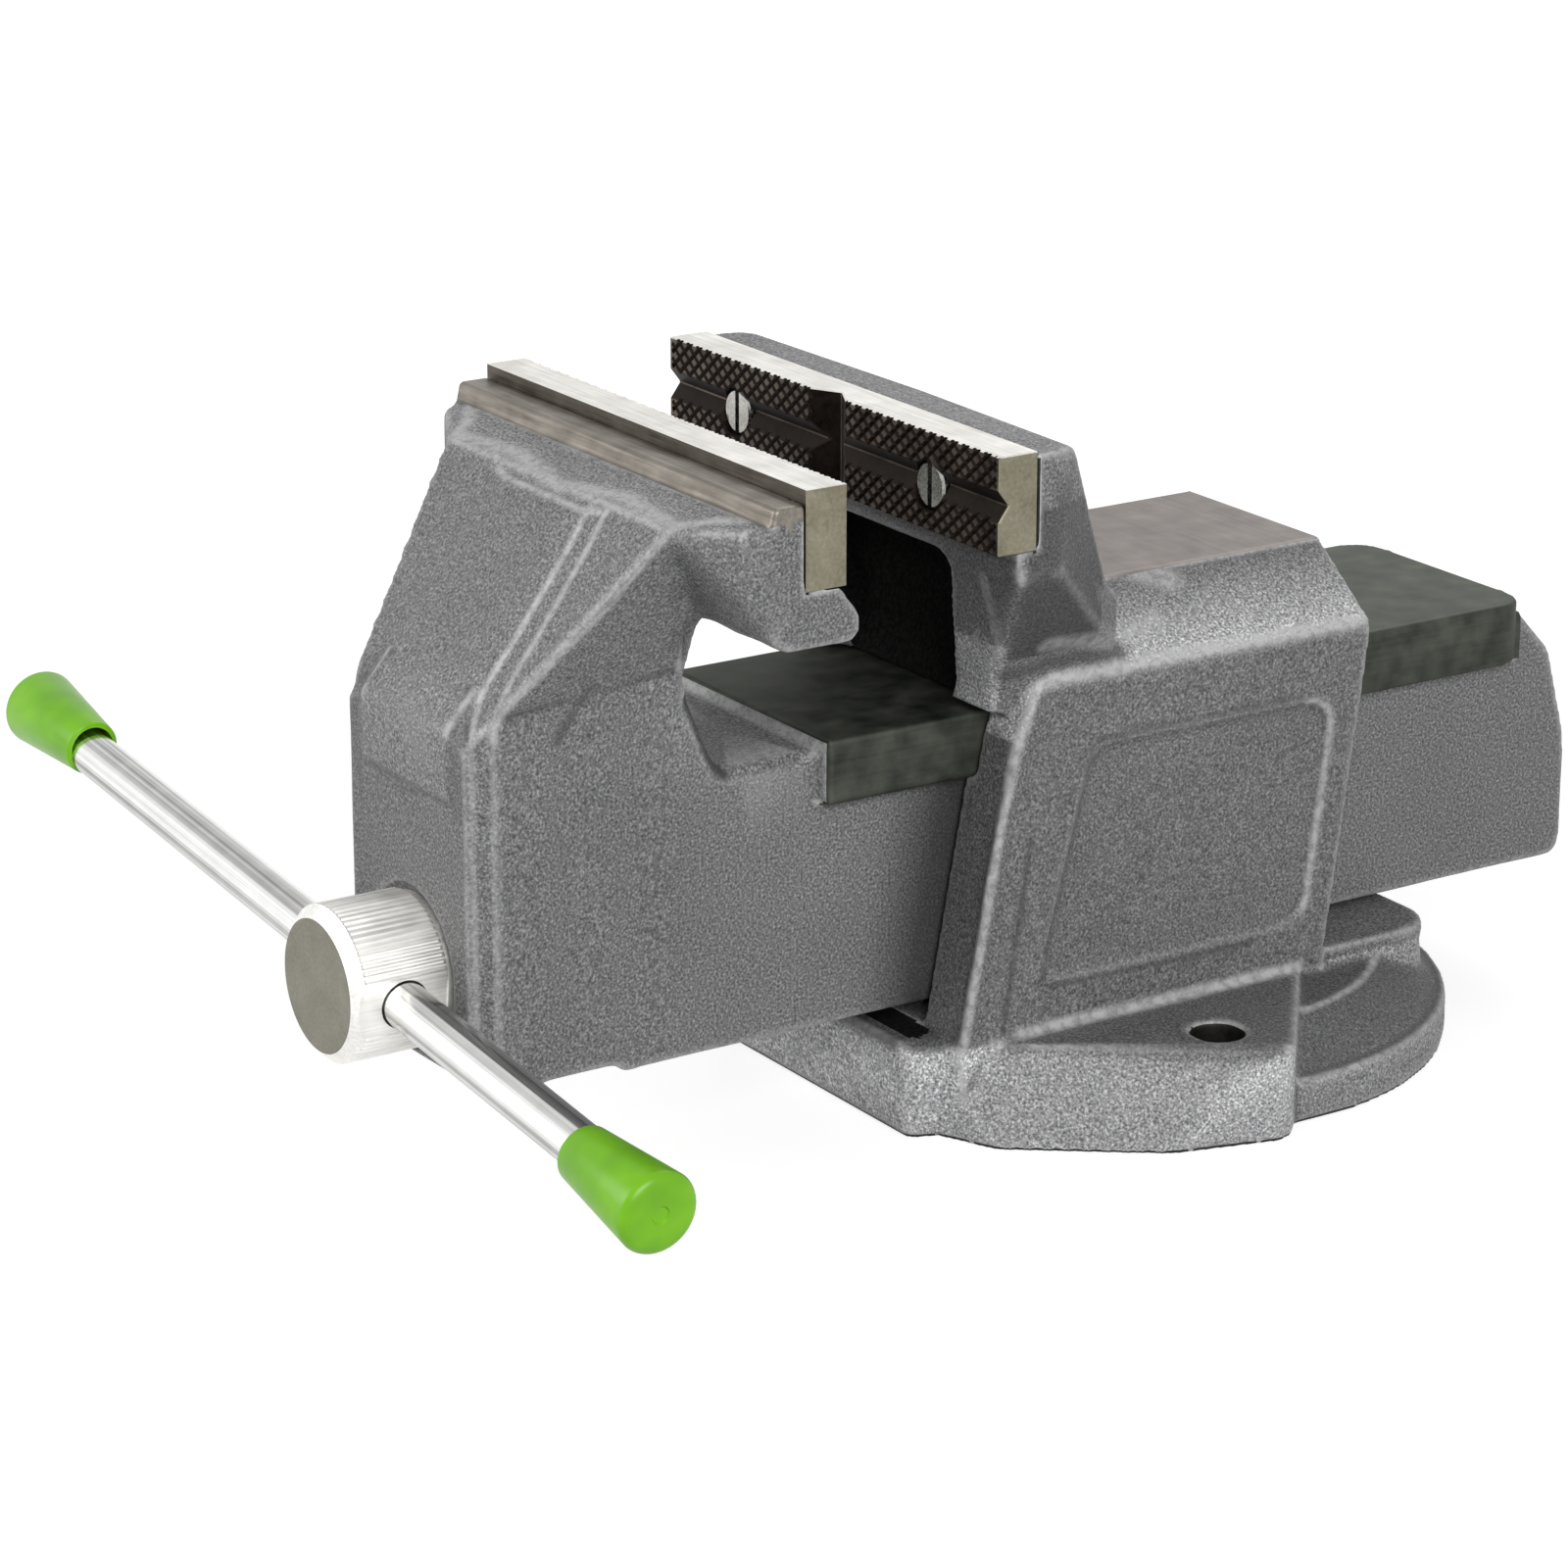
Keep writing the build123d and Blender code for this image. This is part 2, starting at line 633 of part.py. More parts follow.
def nut_bolt_places():
    """Y of the two bolts under the nut, front then rear."""
    middle = nut_length / 2 - nut_front
    return [middle - nut_bolt_spacing / 2, middle + nut_bolt_spacing / 2]


def spindle_nut():
    """Fixed nut inside the hollow slide, seated on the passage floor."""
    top = channel_top - nut_top_gap
    nut = along_y(mirrored([
        (nut_width / 2, top, soft_round),
        (nut_width / 2, passage_floor)]), -nut_front, nut_rear)
    nut -= rod_y(thread_diameter / 2 + running_gap, -nut_front, nut_rear, 0, screw_z)
    for y in nut_bolt_places():
        nut -= rod_z(nut_bolt_diameter / 2 + seat_gap, passage_floor, nut_bolt_top, 0, y)
    return nut


def nut_bolt(y):
    """Socket-head bolt from the underside of the base into the nut."""
    seat_z = nut_bolt_sink + nut_bolt_head_height
    bolt = rod_z(nut_bolt_head_diameter / 2, nut_bolt_sink, seat_z, 0, y)
    bolt += rod_z(nut_bolt_diameter / 2, seat_z, nut_bolt_top, 0, y)
    socket = extrude(RegularPolygon(nut_bolt_socket / 2, 6, major_radius=False), nut_bolt_socket_depth)
    return bolt - Pos(0, y, nut_bolt_sink) * socket


def nut_washer(y):
    """Plain washer under the head of a nut bolt."""
    bottom = nut_bolt_sink + nut_bolt_head_height
    washer = rod_z(nut_washer_diameter / 2, bottom, bottom + nut_washer_thickness, 0, y)
    return washer - rod_z(nut_bolt_diameter / 2 + seat_gap, bottom, bottom + nut_washer_thickness, 0, y)


def ring_y(outer, inner, start, end):
    """Washer or bush on the spindle's axis, from two diameters."""
    return rod_y(outer / 2, start, end, 0, screw_z) - rod_y(inner / 2, start, end, 0, screw_z)


def pin_hole():
    """Hole across the collar and the spindle for the collar pin."""
    return rod_z(collar_pin_diameter / 2 + seat_gap, screw_z - collar_diameter, screw_z + collar_diameter,
                 0, collar_middle)


def lead_screw():
    """Spindle with its head; the thread is drawn at its outer diameter."""
    screw = rod_y(head_diameter / 2, head_front, head_back, 0, screw_z)
    screw = chamfer(screw.edges().filter_by(GeomType.CIRCLE).group_by(Axis.Y)[0], head_chamfer)
    screw += rod_y(journal_diameter / 2, head_back, collar_front, 0, screw_z)
    screw += rod_y(thread_diameter / 2, collar_front, screw_end, 0, screw_z)
    hole_radius = handle_diameter / 2 + loose_gap
    screw -= handle_frame() * rod_along(hole_radius, -head_diameter, head_diameter)
    flat_at = head_diameter / 2 - head_flat_depth
    flat = Pos(0, 0, flat_at + head_flat_depth) * Box(2 * head_length, head_diameter, 2 * head_flat_depth)
    for turn in (0, 180):
        screw -= handle_frame() * Rot(turn, 0, 0) * flat
    return screw - pin_hole()


def handle_frame():
    """Place of the handle hole: +Z of this frame runs along the handle towards its right end."""
    tilt = radians(handle_tilt)
    return Plane(origin=(0, handle_y, screw_z), x_dir=(0, 1, 0), z_dir=(cos(tilt), 0, -sin(tilt))).location


def rod_along(radius, start, end):
    """Round bar along the local +Z."""
    return Pos(0, 0, start) * extrude(Circle(radius), end - start)


def disc_spring():
    """Cone-shaped spring washer between the inner washer and the collar."""
    cone = outline([
        (disc_spring_outer / 2, inner_washer_back),
        (disc_spring_outer / 2, inner_washer_back + disc_spring_thickness),
        (disc_spring_inner / 2, collar_front),
        (disc_spring_inner / 2, collar_front - disc_spring_thickness)])
    return Pos(0, 0, screw_z) * revolve(cone, Axis.Y)


def retaining_collar():
    """Collar pinned to the spindle behind the front wall; it draws the jaw open."""
    return ring_y(collar_diameter, thread_diameter + 2 * seat_gap, collar_front, collar_back) - pin_hole()


def collar_pin():
    """Cross pin through the collar and the spindle."""
    half = collar_pin_length / 2
    return rod_z(collar_pin_diameter / 2, screw_z - half, screw_z + half, 0, collar_middle)


def handle_bar():
    """Plain bar, ending inside its caps."""
    half = handle_length / 2 - cap_end_wall
    return handle_frame() * rod_along(handle_diameter / 2, handle_offset - half, handle_offset + half)


def handle_cap(turn):
    """Tapered cap over one end of the bar; turn is 0 degrees for right and 180 for left."""
    end = handle_length / 2
    mouth = end - cap_length
    profile = outline([
        (0, mouth),
        (cap_mouth_diameter / 2, mouth, cap_mouth_round),
        (cap_end_diameter / 2, end, cap_end_round),
        (0, end)])
    cap = revolve(Plane.XZ * profile, Axis.Z)
    cap -= rod_along(handle_diameter / 2 + seat_gap, mouth - overrun, end - cap_end_wall)
    return handle_frame() * Pos(0, 0, handle_offset) * Rot(turn, 0, 0) * cap


def pieces():
    """Every piece of the vise by its node name."""
    bush_bore = journal_diameter + 2 * running_gap
    washer_bore = journal_diameter + 2 * loose_gap
    made = {
        "fixed_jaw_body": fixed_jaw_body(),
        "fixed_jaw_plate": jaw_plate(fixed_grip, 1) - plate_grooves(fixed_grip, 1),
        "moving_jaw": moving_jaw(),
        "moving_jaw_plate": jaw_plate(moving_grip, -1),
        "lead_screw": lead_screw(),
        "spindle_bush": ring_y(bush_diameter, bush_bore, column_front, wall_back),
        "thrust_washer": ring_y(thrust_washer_diameter, washer_bore, head_back, column_front),
        "inner_washer": ring_y(inner_washer_diameter, washer_bore, wall_back, inner_washer_back),
        "disc_spring": disc_spring(),
        "retaining_collar": retaining_collar(),
        "collar_pin": collar_pin(),
        "spindle_nut": spindle_nut(),
        "handle_bar": handle_bar(),
        "handle_cap_left": handle_cap(180),
        "handle_cap_right": handle_cap(0),
    }
    for name, x in plate_screw_places():
        made[f"fixed_plate_screw_{name}"] = plate_screw(x, fixed_grip, 1)
        made[f"moving_plate_screw_{name}"] = plate_screw(x, moving_grip, -1)
    for name, y in zip(("front", "rear"), nut_bolt_places()):
        made[f"nut_bolt_{name}"] = nut_bolt(y)
        made[f"nut_washer_{name}"] = nut_washer(y)
    return made


os.makedirs("parts", exist_ok=True)
for node, shape in pieces().items():
    export_step(shape, f"parts/{node}.step")
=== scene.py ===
import json
import math

import bmesh
import bpy
import numpy as np
from mathutils import Matrix, Vector, noise
from mathutils.bvhtree import BVHTree
from mathutils.kdtree import KDTree


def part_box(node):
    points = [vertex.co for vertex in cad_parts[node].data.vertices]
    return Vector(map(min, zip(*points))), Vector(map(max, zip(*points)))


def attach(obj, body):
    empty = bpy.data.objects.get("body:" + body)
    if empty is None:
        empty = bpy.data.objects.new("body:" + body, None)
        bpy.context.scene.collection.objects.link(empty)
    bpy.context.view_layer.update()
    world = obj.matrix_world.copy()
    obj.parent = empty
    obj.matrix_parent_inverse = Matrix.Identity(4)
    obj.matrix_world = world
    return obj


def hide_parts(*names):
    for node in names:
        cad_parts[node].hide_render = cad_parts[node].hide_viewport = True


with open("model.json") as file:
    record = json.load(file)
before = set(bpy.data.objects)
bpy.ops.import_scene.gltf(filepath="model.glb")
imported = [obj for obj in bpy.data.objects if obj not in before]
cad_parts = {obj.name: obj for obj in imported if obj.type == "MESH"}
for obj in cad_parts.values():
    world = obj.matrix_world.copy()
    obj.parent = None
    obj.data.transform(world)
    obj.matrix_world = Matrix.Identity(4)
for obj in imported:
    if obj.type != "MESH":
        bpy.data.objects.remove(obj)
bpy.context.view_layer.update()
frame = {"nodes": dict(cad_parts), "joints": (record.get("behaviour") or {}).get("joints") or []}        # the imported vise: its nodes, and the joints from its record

nodes = frame["nodes"]
joints = {joint["name"]: joint for joint in frame["joints"]}
mm = 0.001
print("frame loaded:", len(nodes), "pieces")


# Small tools

def toLinear(hexColour):
    channels = [int(hexColour[i:i + 2], 16) / 255 for i in (1, 3, 5)]
    linear = [c / 12.92 if c <= 0.04045 else ((c + 0.055) / 1.055) ** 2.4 for c in channels]
    return (*linear, 1.0)


def perMetre(sizeMm):  # texture scale that draws a pattern at this real size
    return 1 / (sizeMm * mm)


def addNode(tree, kind, settings=None, links=None):
    node = tree.nodes.new(kind)
    for key, value in (settings or {}).items():
        if key == "stops":  # colour ramp: places and hex colours
            ramp = node.color_ramp
            while len(ramp.elements) < len(value):
                ramp.elements.new(0.5)
            for element, (place, colour) in zip(ramp.elements, value):
                element.position = place
                element.color = toLinear(colour)
        elif isinstance(key, int) or key in node.inputs:
            node.inputs[key].default_value = value
        else:
            setattr(node, key, value)
    for key, source in (links or {}).items():
        tree.links.new(source, node.inputs[key])
    return node


def newMaterial(name, shaderSettings):
    material = bpy.data.materials.new(name)
    material.use_nodes = True
    tree = material.node_tree
    tree.nodes.clear()
    shader = addNode(tree, "ShaderNodeBsdfPrincipled", shaderSettings)
    addNode(tree, "ShaderNodeOutputMaterial", links={"Surface": shader.outputs[0]})
    place = addNode(tree, "ShaderNodeTexCoord").outputs["Object"]
    return material, tree, shader, place


def newPiece(name, mesh):
    piece = bpy.data.objects.new(name, mesh)
    bpy.context.scene.collection.objects.link(piece)
    return piece


def bakeModifiers(piece):
    evaluated = piece.evaluated_get(bpy.context.evaluated_depsgraph_get())
    mesh = bpy.data.meshes.new_from_object(evaluated)
    piece.modifiers.clear()
    piece.data = mesh


cadMesh = {"weld": 0.002, "flatWithin": 0.2}  # mm and degrees


def cadCopy(node, name):  # the built piece with its facets joined to whole faces
    mesh = bpy.data.meshes.new(name)
    form = bmesh.new()
    form.from_mesh(nodes[node].data)
    bmesh.ops.remove_doubles(form, verts=form.verts, dist=cadMesh["weld"] * mm)
    bmesh.ops.dissolve_limit(form, angle_limit=math.radians(cadMesh["flatWithin"]), verts=form.verts,
                             edges=form.edges)
    form.to_mesh(mesh)
    form.free()
    return newPiece(name, mesh)


def cutWith(piece, cutter, operation="DIFFERENCE"):
    cut = piece.modifiers.new("cut", "BOOLEAN")
    cut.operation = operation
    cut.solver = "EXACT"
    cut.object = cutter
    bakeModifiers(piece)
    bpy.data.objects.remove(cutter)


def meshFrom(name, points, faces):
    mesh = bpy.data.meshes.new(name)
    mesh.from_pydata(points, [], faces)
    mesh.validate()
    form = bmesh.new()
    form.from_mesh(mesh)
    bmesh.ops.recalc_face_normals(form, faces=form.faces)
    form.to_mesh(mesh)
    form.free()
    return mesh


def turned(name, profile, segments=96, swell=None):
    # solid of revolution about local Z from (radius, height) in mm, both ends on the axis
    points, rings = [], []
    for radius, height in profile:
        if radius == 0:
            rings.append([len(points)])
            points.append((0, 0, height * mm))
            continue
        ring = []
        for i in range(segments):
            angle = 2 * math.pi * i / segments
            r = (swell(radius, height, i) if swell else radius) * mm
            ring.append(len(points))
            points.append((r * math.cos(angle), r * math.sin(angle), height * mm))
        rings.append(ring)
    faces = []
    for low, high in zip(rings, rings[1:]):
        for i in range(segments):
            j = (i + 1) % segments
            quad = [low[i % len(low)], low[j % len(low)], high[j % len(high)], high[i % len(high)]]
            faces.append(list(dict.fromkeys(quad)))
    return newPiece(name, meshFrom(name, points, faces))


def boxPiece(name, low, high):  # low and high corners in mm
    corners = [(x * mm, y * mm, z * mm) for x in (low[0], high[0]) for y in (low[1], high[1])
               for z in (low[2], high[2])]
    sides = [(0, 1, 3, 2), (4, 6, 7, 5), (0, 4, 5, 1), (2, 3, 7, 6), (0, 2, 6, 4), (1, 5, 7, 3)]
    return newPiece(name, meshFrom(name, corners, sides))


def standOn(origin, along, across):  # local Z runs along, local X across
    z = Vector(along).normalized()
    x = (Vector(across) - z * Vector(across).dot(z)).normalized()
    turn = Matrix((x, z.cross(x), z)).transposed().to_4x4()
    return Matrix.Translation(origin) @ turn


def smoothShade(piece, sharpDegrees=30):
    piece.data.shade_smooth()
    piece.data.set_sharp_from_angle(angle=math.radians(sharpDegrees))


def fit(piece, body, replaced, materials):
    for material in materials:
        piece.data.materials.append(material)
    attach(piece, body)
    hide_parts(replaced)


# Finishes

def paintedIron():
    # satin grey enamel on sand-cast iron: the sand's grain shows through; edges lighten, partly rubbed paint
    # and partly painted highlight; creases and hollows get painted shade; faces are lightened or darkened by
    # the way they face, which is painted light and shade
    material, tree, shader, place = newMaterial("satin grey enamel on sand-cast iron", {"IOR": 1.5})
    grain = addNode(tree, "ShaderNodeTexNoise", {"Scale": perMetre(0.7), "Detail": 2.0, "Roughness": 0.6},
                    {"Vector": place})  # sand grain, drawn twice as coarse so that it shows
    pits = addNode(tree, "ShaderNodeTexNoise", {"Scale": perMetre(2.4), "Detail": 2.0}, {"Vector": place})
    cloud = addNode(tree, "ShaderNodeTexNoise", {"Scale": perMetre(38), "Detail": 3.0}, {"Vector": place})
    speckle = addNode(tree, "ShaderNodeValToRGB", {"stops": [
        (0.31, "#343434"), (0.43, "#5e5e5f"), (0.55, "#767677"), (0.69, "#a2a2a2")]},
        {"Fac": grain.outputs["Fac"]})
    clouded = addNode(tree, "ShaderNodeMapRange",
                      {"From Min": 0.3, "From Max": 0.7, "To Min": 0.9, "To Max": 1.06},
                      {"Value": cloud.outputs["Fac"]})
    # the tone layer is painted light and shade: faces lightened or darkened by the way they face
    tone = addNode(tree, "ShaderNodeAttribute", {"attribute_name": "tone"})
    cloudAndPaintedLight = addNode(tree, "ShaderNodeMath", {"operation": "MULTIPLY"},
                    {0: clouded.outputs["Result"], 1: tone.outputs["Fac"]})
    speckleWithPaintedLight = addNode(tree, "ShaderNodeMix", {"data_type": "RGBA", "blend_type": "MULTIPLY", 0: 1.0},
                    {6: speckle.outputs["Color"], 7: cloudAndPaintedLight.outputs[0]})
    broken = addNode(tree, "ShaderNodeMapRange",
                     {"From Min": 0.35, "From Max": 0.6, "To Min": 0.5, "To Max": 1.0},
                     {"Value": pits.outputs["Fac"]})
    coat = speckleWithPaintedLight.outputs[2]
    # layers over the paint: painted crease shade, edge wear with painted highlight, and painted deep shade
    for layer, colour in (("hollow", "#343434"), ("wear", "#c4c4c4"), ("soot", "#131312")):
        spread = addNode(tree, "ShaderNodeAttribute", {"attribute_name": layer})
        amount = spread.outputs["Fac"]
        if layer == "wear":
            amount = addNode(tree, "ShaderNodeMath", {"operation": "MULTIPLY", "use_clamp": True},
                             {0: amount, 1: broken.outputs["Result"]}).outputs[0]
        coat = addNode(tree, "ShaderNodeMix", {"data_type": "RGBA", 7: toLinear(colour)},
                       {0: amount, 6: coat}).outputs[2]
    tree.links.new(coat, shader.inputs["Base Color"])
    gloss = addNode(tree, "ShaderNodeMapRange",
                    {"From Min": 0.3, "From Max": 0.7, "To Min": 0.64, "To Max": 0.48},
                    {"Value": grain.outputs["Fac"]})
    tree.links.new(gloss.outputs["Result"], shader.inputs["Roughness"])
    rough = addNode(tree, "ShaderNodeMath", {"operation": "MULTIPLY_ADD", 1: 0.5},
                    {0: pits.outputs["Fac"], 2: grain.outputs["Fac"]})
    bump = addNode(tree, "ShaderNodeBump", {"Strength": 0.5, "Distance": 0.3 * mm},
                   {"Height": rough.outputs[0]})
    tree.links.new(bump.outputs["Normal"], shader.inputs["Normal"])
    return material


def milledMetal(name, dark, light, roughness, streakMm, stretch, film=0.4, spread=0.16, bumpMm=0.02):
    # cut or ground metal: fine lines along one direction, with a cloudy film of oil and handling
    material, tree, shader, place = newMaterial(name, {"Metallic": 1.0})
    drawnOut = addNode(tree, "ShaderNodeMapping", {"Scale": stretch}, {"Vector": place})
    scratch = addNode(tree, "ShaderNodeTexNoise",
                      {"Scale": perMetre(streakMm), "Detail": 4.0, "Roughness": 0.7},
                      {"Vector": drawnOut.outputs[0]})  # tool marks, coarser than real so that they show
    cloud = addNode(tree, "ShaderNodeTexNoise", {"Scale": perMetre(9), "Detail": 6.0}, {"Vector": place})
    both = addNode(tree, "ShaderNodeMix", {0: film}, {2: scratch.outputs["Fac"], 3: cloud.outputs["Fac"]})
    tone = addNode(tree, "ShaderNodeValToRGB", {"stops": [(0.5 - spread, dark), (0.5 + spread, light)]},
                   {"Fac": both.outputs[0]})
    tree.links.new(tone.outputs["Color"], shader.inputs["Base Color"])
    gloss = addNode(tree, "ShaderNodeMapRange", {"From Min": 0.3, "From Max": 0.7, "To Min": roughness - 0.07,
                                                 "To Max": roughness + 0.09}, {"Value": both.outputs[0]})
    tree.links.new(gloss.outputs["Result"], shader.inputs["Roughness"])
    bump = addNode(tree, "ShaderNodeBump", {"Strength": 0.5, "Distance": bumpMm * mm},
                   {"Height": scratch.outputs["Fac"]})
    tree.links.new(bump.outputs["Normal"], shader.inputs["Normal"])
    return material


def paintedDeepShade():
    # painted deep shade: dull black with a faint grey grain and no shine, for faces deep in shadow
    material, tree, shader, place = newMaterial("black painted shade", {"Roughness": 0.95,
                                                                         "Specular IOR Level": 0.05})
    grain = addNode(tree, "ShaderNodeTexNoise", {"Scale": perMetre(1.2), "Detail": 3.0}, {"Vector": place})
    tone = addNode(tree, "ShaderNodeValToRGB", {"stops": [(0.35, "#0d0d0d"), (0.7, "#1f1f1e")]},
                   {"Fac": grain.outputs["Fac"]})
    tree.links.new(tone.outputs["Color"], shader.inputs["Base Color"])
    return material


def softPlastic():
    # moulded soft vinyl: even bright green, a satin skin with faint flow marks
    material, tree, shader, place = newMaterial("bright green soft vinyl", {"IOR": 1.53,
                                                                            "Specular IOR Level": 0.35})
    flow = addNode(tree, "ShaderNodeTexNoise", {"Scale": perMetre(14), "Detail": 2.0},
                   {"Vector": place})
    tone = addNode(tree, "ShaderNodeValToRGB", {"stops": [
        (0.3, "#68a808"), (0.5, "#72b60a"), (0.72, "#80c410")]}, {"Fac": flow.outputs["Fac"]})
    tree.links.new(tone.outputs["Color"], shader.inputs["Base Color"])
    gloss = addNode(tree, "ShaderNodeMapRange", {"To Min": 0.28, "To Max": 0.4},
                    {"Value": flow.outputs["Fac"]})
    tree.links.new(gloss.outputs["Result"], shader.inputs["Roughness"])
    skin = addNode(tree, "ShaderNodeTexNoise", {"Scale": perMetre(0.9), "Detail": 2.0}, {"Vector": place})
    bump = addNode(tree, "ShaderNodeBump", {"Strength": 0.15, "Distance": 0.08 * mm},
                   {"Height": skin.outputs["Fac"]})
    tree.links.new(bump.outputs["Normal"], shader.inputs["Normal"])
    return material


alongSlide = (1.0, 0.04, 1.0)   # streaks drawn out along Y
acrossJaw = (0.04, 1.0, 1.0)    # along X
alongLength = (1.0, 1.0, 0.015)  # along a turned piece's own axis
alongBar = (1.0, 1.0, 0.003)    # the whole length of the drawn bar
everyWay = (1.0, 1.0, 1.0)      # spots, no streaks
enamel = paintedIron()
# black painted shade for the most deeply shaded faces
deepShadeBlack = paintedDeepShade()
# dull and greenish dark, blotched with old oil
oiledSlide = milledMetal("oiled ground cast iron", "#31352f", "#565851", 0.62, 1.4, alongSlide, film=0.75)
# brownish grey with the cutter's lines
milledStrip = milledMetal("milled cast iron, browned", "#5e5850", "#8f8a82", 0.45, 1.2, acrossJaw)
# mid grey, its lines half hidden by handling
milledAnvil = milledMetal("milled cast iron, bare", "#5e5855", "#807975", 0.5, 1.6, acrossJaw, film=0.6)
# dark grey with coarse tool marks
bareIron = milledMetal("rough-machined cast iron", "#22211f", "#3a3936", 0.6, 1.6, alongSlide)
# pale and bright with fine lines
groundSteel = milledMetal("ground tool steel", "#c0bdb5", "#eae8e3", 0.32, 0.9, acrossJaw)
# dull olive grey
sawnSteel = milledMetal("hardened steel, sawn end", "#6b6655", "#908b7b", 0.5, 1.1, everyWay, film=0.5)
# nearly black in the cuts
blackGrip = milledMetal("oil-blackened steel", "#15120f", "#2b2520", 0.55, 1.6, everyWay)
# the black rubbed to brown on the high spots
wornGrip = milledMetal("oil-blackened steel, rubbed", "#332c26", "#665c53", 0.5, 2.0, everyWay, film=0.7)
# brown-grey scale
scaledSteel = milledMetal("hardened steel, dark back", "#3f3a34", "#6a645c", 0.5, 1.2, acrossJaw)
# clean and shiny
brightScrew = milledMetal("bright turned steel", "#6b6a64", "#c4c3bd", 0.26, 0.8, everyWay)
# whitish satin
turnedSteel = milledMetal("turned steel", "#d2d1cd", "#faf9f6", 0.52, 0.8, alongLength)
# flat grey, hardly shining
facedSteel = milledMetal("faced steel, dull", "#6d6b60", "#8b897d", 0.48, 1.0, everyWay)
# almost a mirror, with long soft light and dark bands in the colour, partly drawing marks and partly painted
# reflection streaks
drawnChrome = milledMetal("bright drawn bar, plated", "#777674", "#f7f7f6", 0.14, 6.0, alongBar, film=0.05,
                          spread=0.09, bumpMm=0.005)
# warm yellow brown
bronze = milledMetal("turned bearing bronze", "#8d6a34", "#b98f4c", 0.35, 0.8, alongSlide)
# black with a cold sheen
blackBolt = milledMetal("blackened steel", "#17171a", "#2c2c2f", 0.45, 0.9, everyWay)
# matt grey
greyNut = milledMetal("bare cast iron", "#3f3e3b", "#5f5d58", 0.6, 1.4, everyWay)
vinyl = softPlastic()
print("finishes made:", len(bpy.data.materials))


# Castings

casting = {  # for both castings, in mm, degrees, rounds and shares; waves are bumps per metre and mm high
    "voxel": 1.0, "softening": 7, "easing": 0.5, "meltCore": 1.4, "waves": [(55, 0.14), (800, 0.03)],
    "triangles": 120000, "fineWithin": 4, "lineMargin": 2, "paintedShadeEven": 0.8,
    "beadSides": 10, "beadSpacing": 4, "spacing": 0.5, "sway": 0.35, "swayScale": 90, "lineCore": 1.5,
    "sharperThan": 15, "widerThan": 1.8, "wearAndHighlightWidth": 1.6, "ridgeWearAndHighlight": 0.75, "hollowWidth": 1.5,
    "creaseShade": 0.7, "swellRounds": 6, "swellFrom": 0.05, "swellWearAndHighlight": 0.35, "swellShade": 0.4,
    "meltHides": 0.9, "facingFrom": 0.45, "facingBand": 0.35, "paintedLightMost": 4, "paintedShadeBlack": 0.85,
}


def meshPoints(mesh):
    points = np.empty(len(mesh.vertices) * 3, np.float32)
    mesh.vertices.foreach_get("co", points)
    return points.reshape(-1, 3).astype(np.float64)


def meshNormals(mesh):
    normals = np.empty(len(mesh.vertices) * 3, np.float32)
    mesh.vertex_normals.foreach_get("vector", normals)
    return normals.reshape(-1, 3).astype(np.float64)


def setPoints(mesh, points):
    mesh.vertices.foreach_set("co", points.astype(np.float32).ravel())
    mesh.update()


def meshEdges(mesh):
    edges = np.empty(len(mesh.edges) * 2, np.int32)
    mesh.edges.foreach_get("vertices", edges)
    return edges.reshape(-1, 2)


def eased(points, edges, amount, rounds):  # each point drawn towards its neighbours' mean
    count = len(points)
    degree = np.bincount(edges.ravel(), minlength=count)[:, None].clip(1)
    for _ in range(rounds):
        mean = np.stack([np.bincount(edges[:, 0], points[edges[:, 1], axis], count)
                         + np.bincount(edges[:, 1], points[edges[:, 0], axis], count)
                         for axis in range(3)], axis=1) / degree
        points = points + amount[:, None] * (mean - points)
    return points


def inBoxes(points, boxes):  # index of the first box that holds each point, or -1
    found = np.full(len(points), -1)
    for index, (_, low, high) in enumerate(boxes):
        inside = np.all((points >= np.array(low) * mm) & (points <= np.array(high) * mm), axis=1)
        found[inside & (found < 0)] = index
    return found


def addBead(piece, path, radius):  # thick raised line, sunk halfway into the casting
    sides = casting["beadSides"]
    points, faces = [], []
    for k, centre in enumerate(path):
        ahead = (path[min(k + 1, len(path) - 1)] - path[max(k - 1, 0)]).normalized()
        side = ahead.orthogonal().normalized()
        over = ahead.cross(side)
        for i in range(sides):
            angle = 2 * math.pi * i / sides
            points.append(centre + (side * math.cos(angle) + over * math.sin(angle)) * radius)
    for k in range(len(path) - 1):
        for i in range(sides):
            j = (i + 1) % sides
            faces.append((k * sides + i, k * sides + j, (k + 1) * sides + j, (k + 1) * sides + i))
    faces.append(tuple(range(sides)))
    faces.append(tuple(range((len(path) - 1) * sides, len(path) * sides)))
    form = bmesh.new()
    form.from_mesh(piece.data)
    form.from_mesh(meshFrom("bead", points, faces))
    form.to_mesh(piece.data)
    form.free()


def pathThrough(corners, spacing, sway=0.0):  # points spaced along a bent line, corners in mm
    path = []
    for start, end in zip(corners, corners[1:]):
        start, end = Vector(start) * mm, Vector(end) * mm
        steps = max(1, round((end - start).length / (spacing * mm)))
        path += [start.lerp(end, k / steps) for k in range(steps)]
    path.append(Vector(corners[-1]) * mm)
    elsewhere = Vector((7, 3, 1))  # so that the two sways differ
    for point in path:
        point.x += noise.noise(point * casting["swayScale"]) * sway * mm
        point.y += noise.noise(point * casting["swayScale"] + elsewhere) * sway * mm
    return path


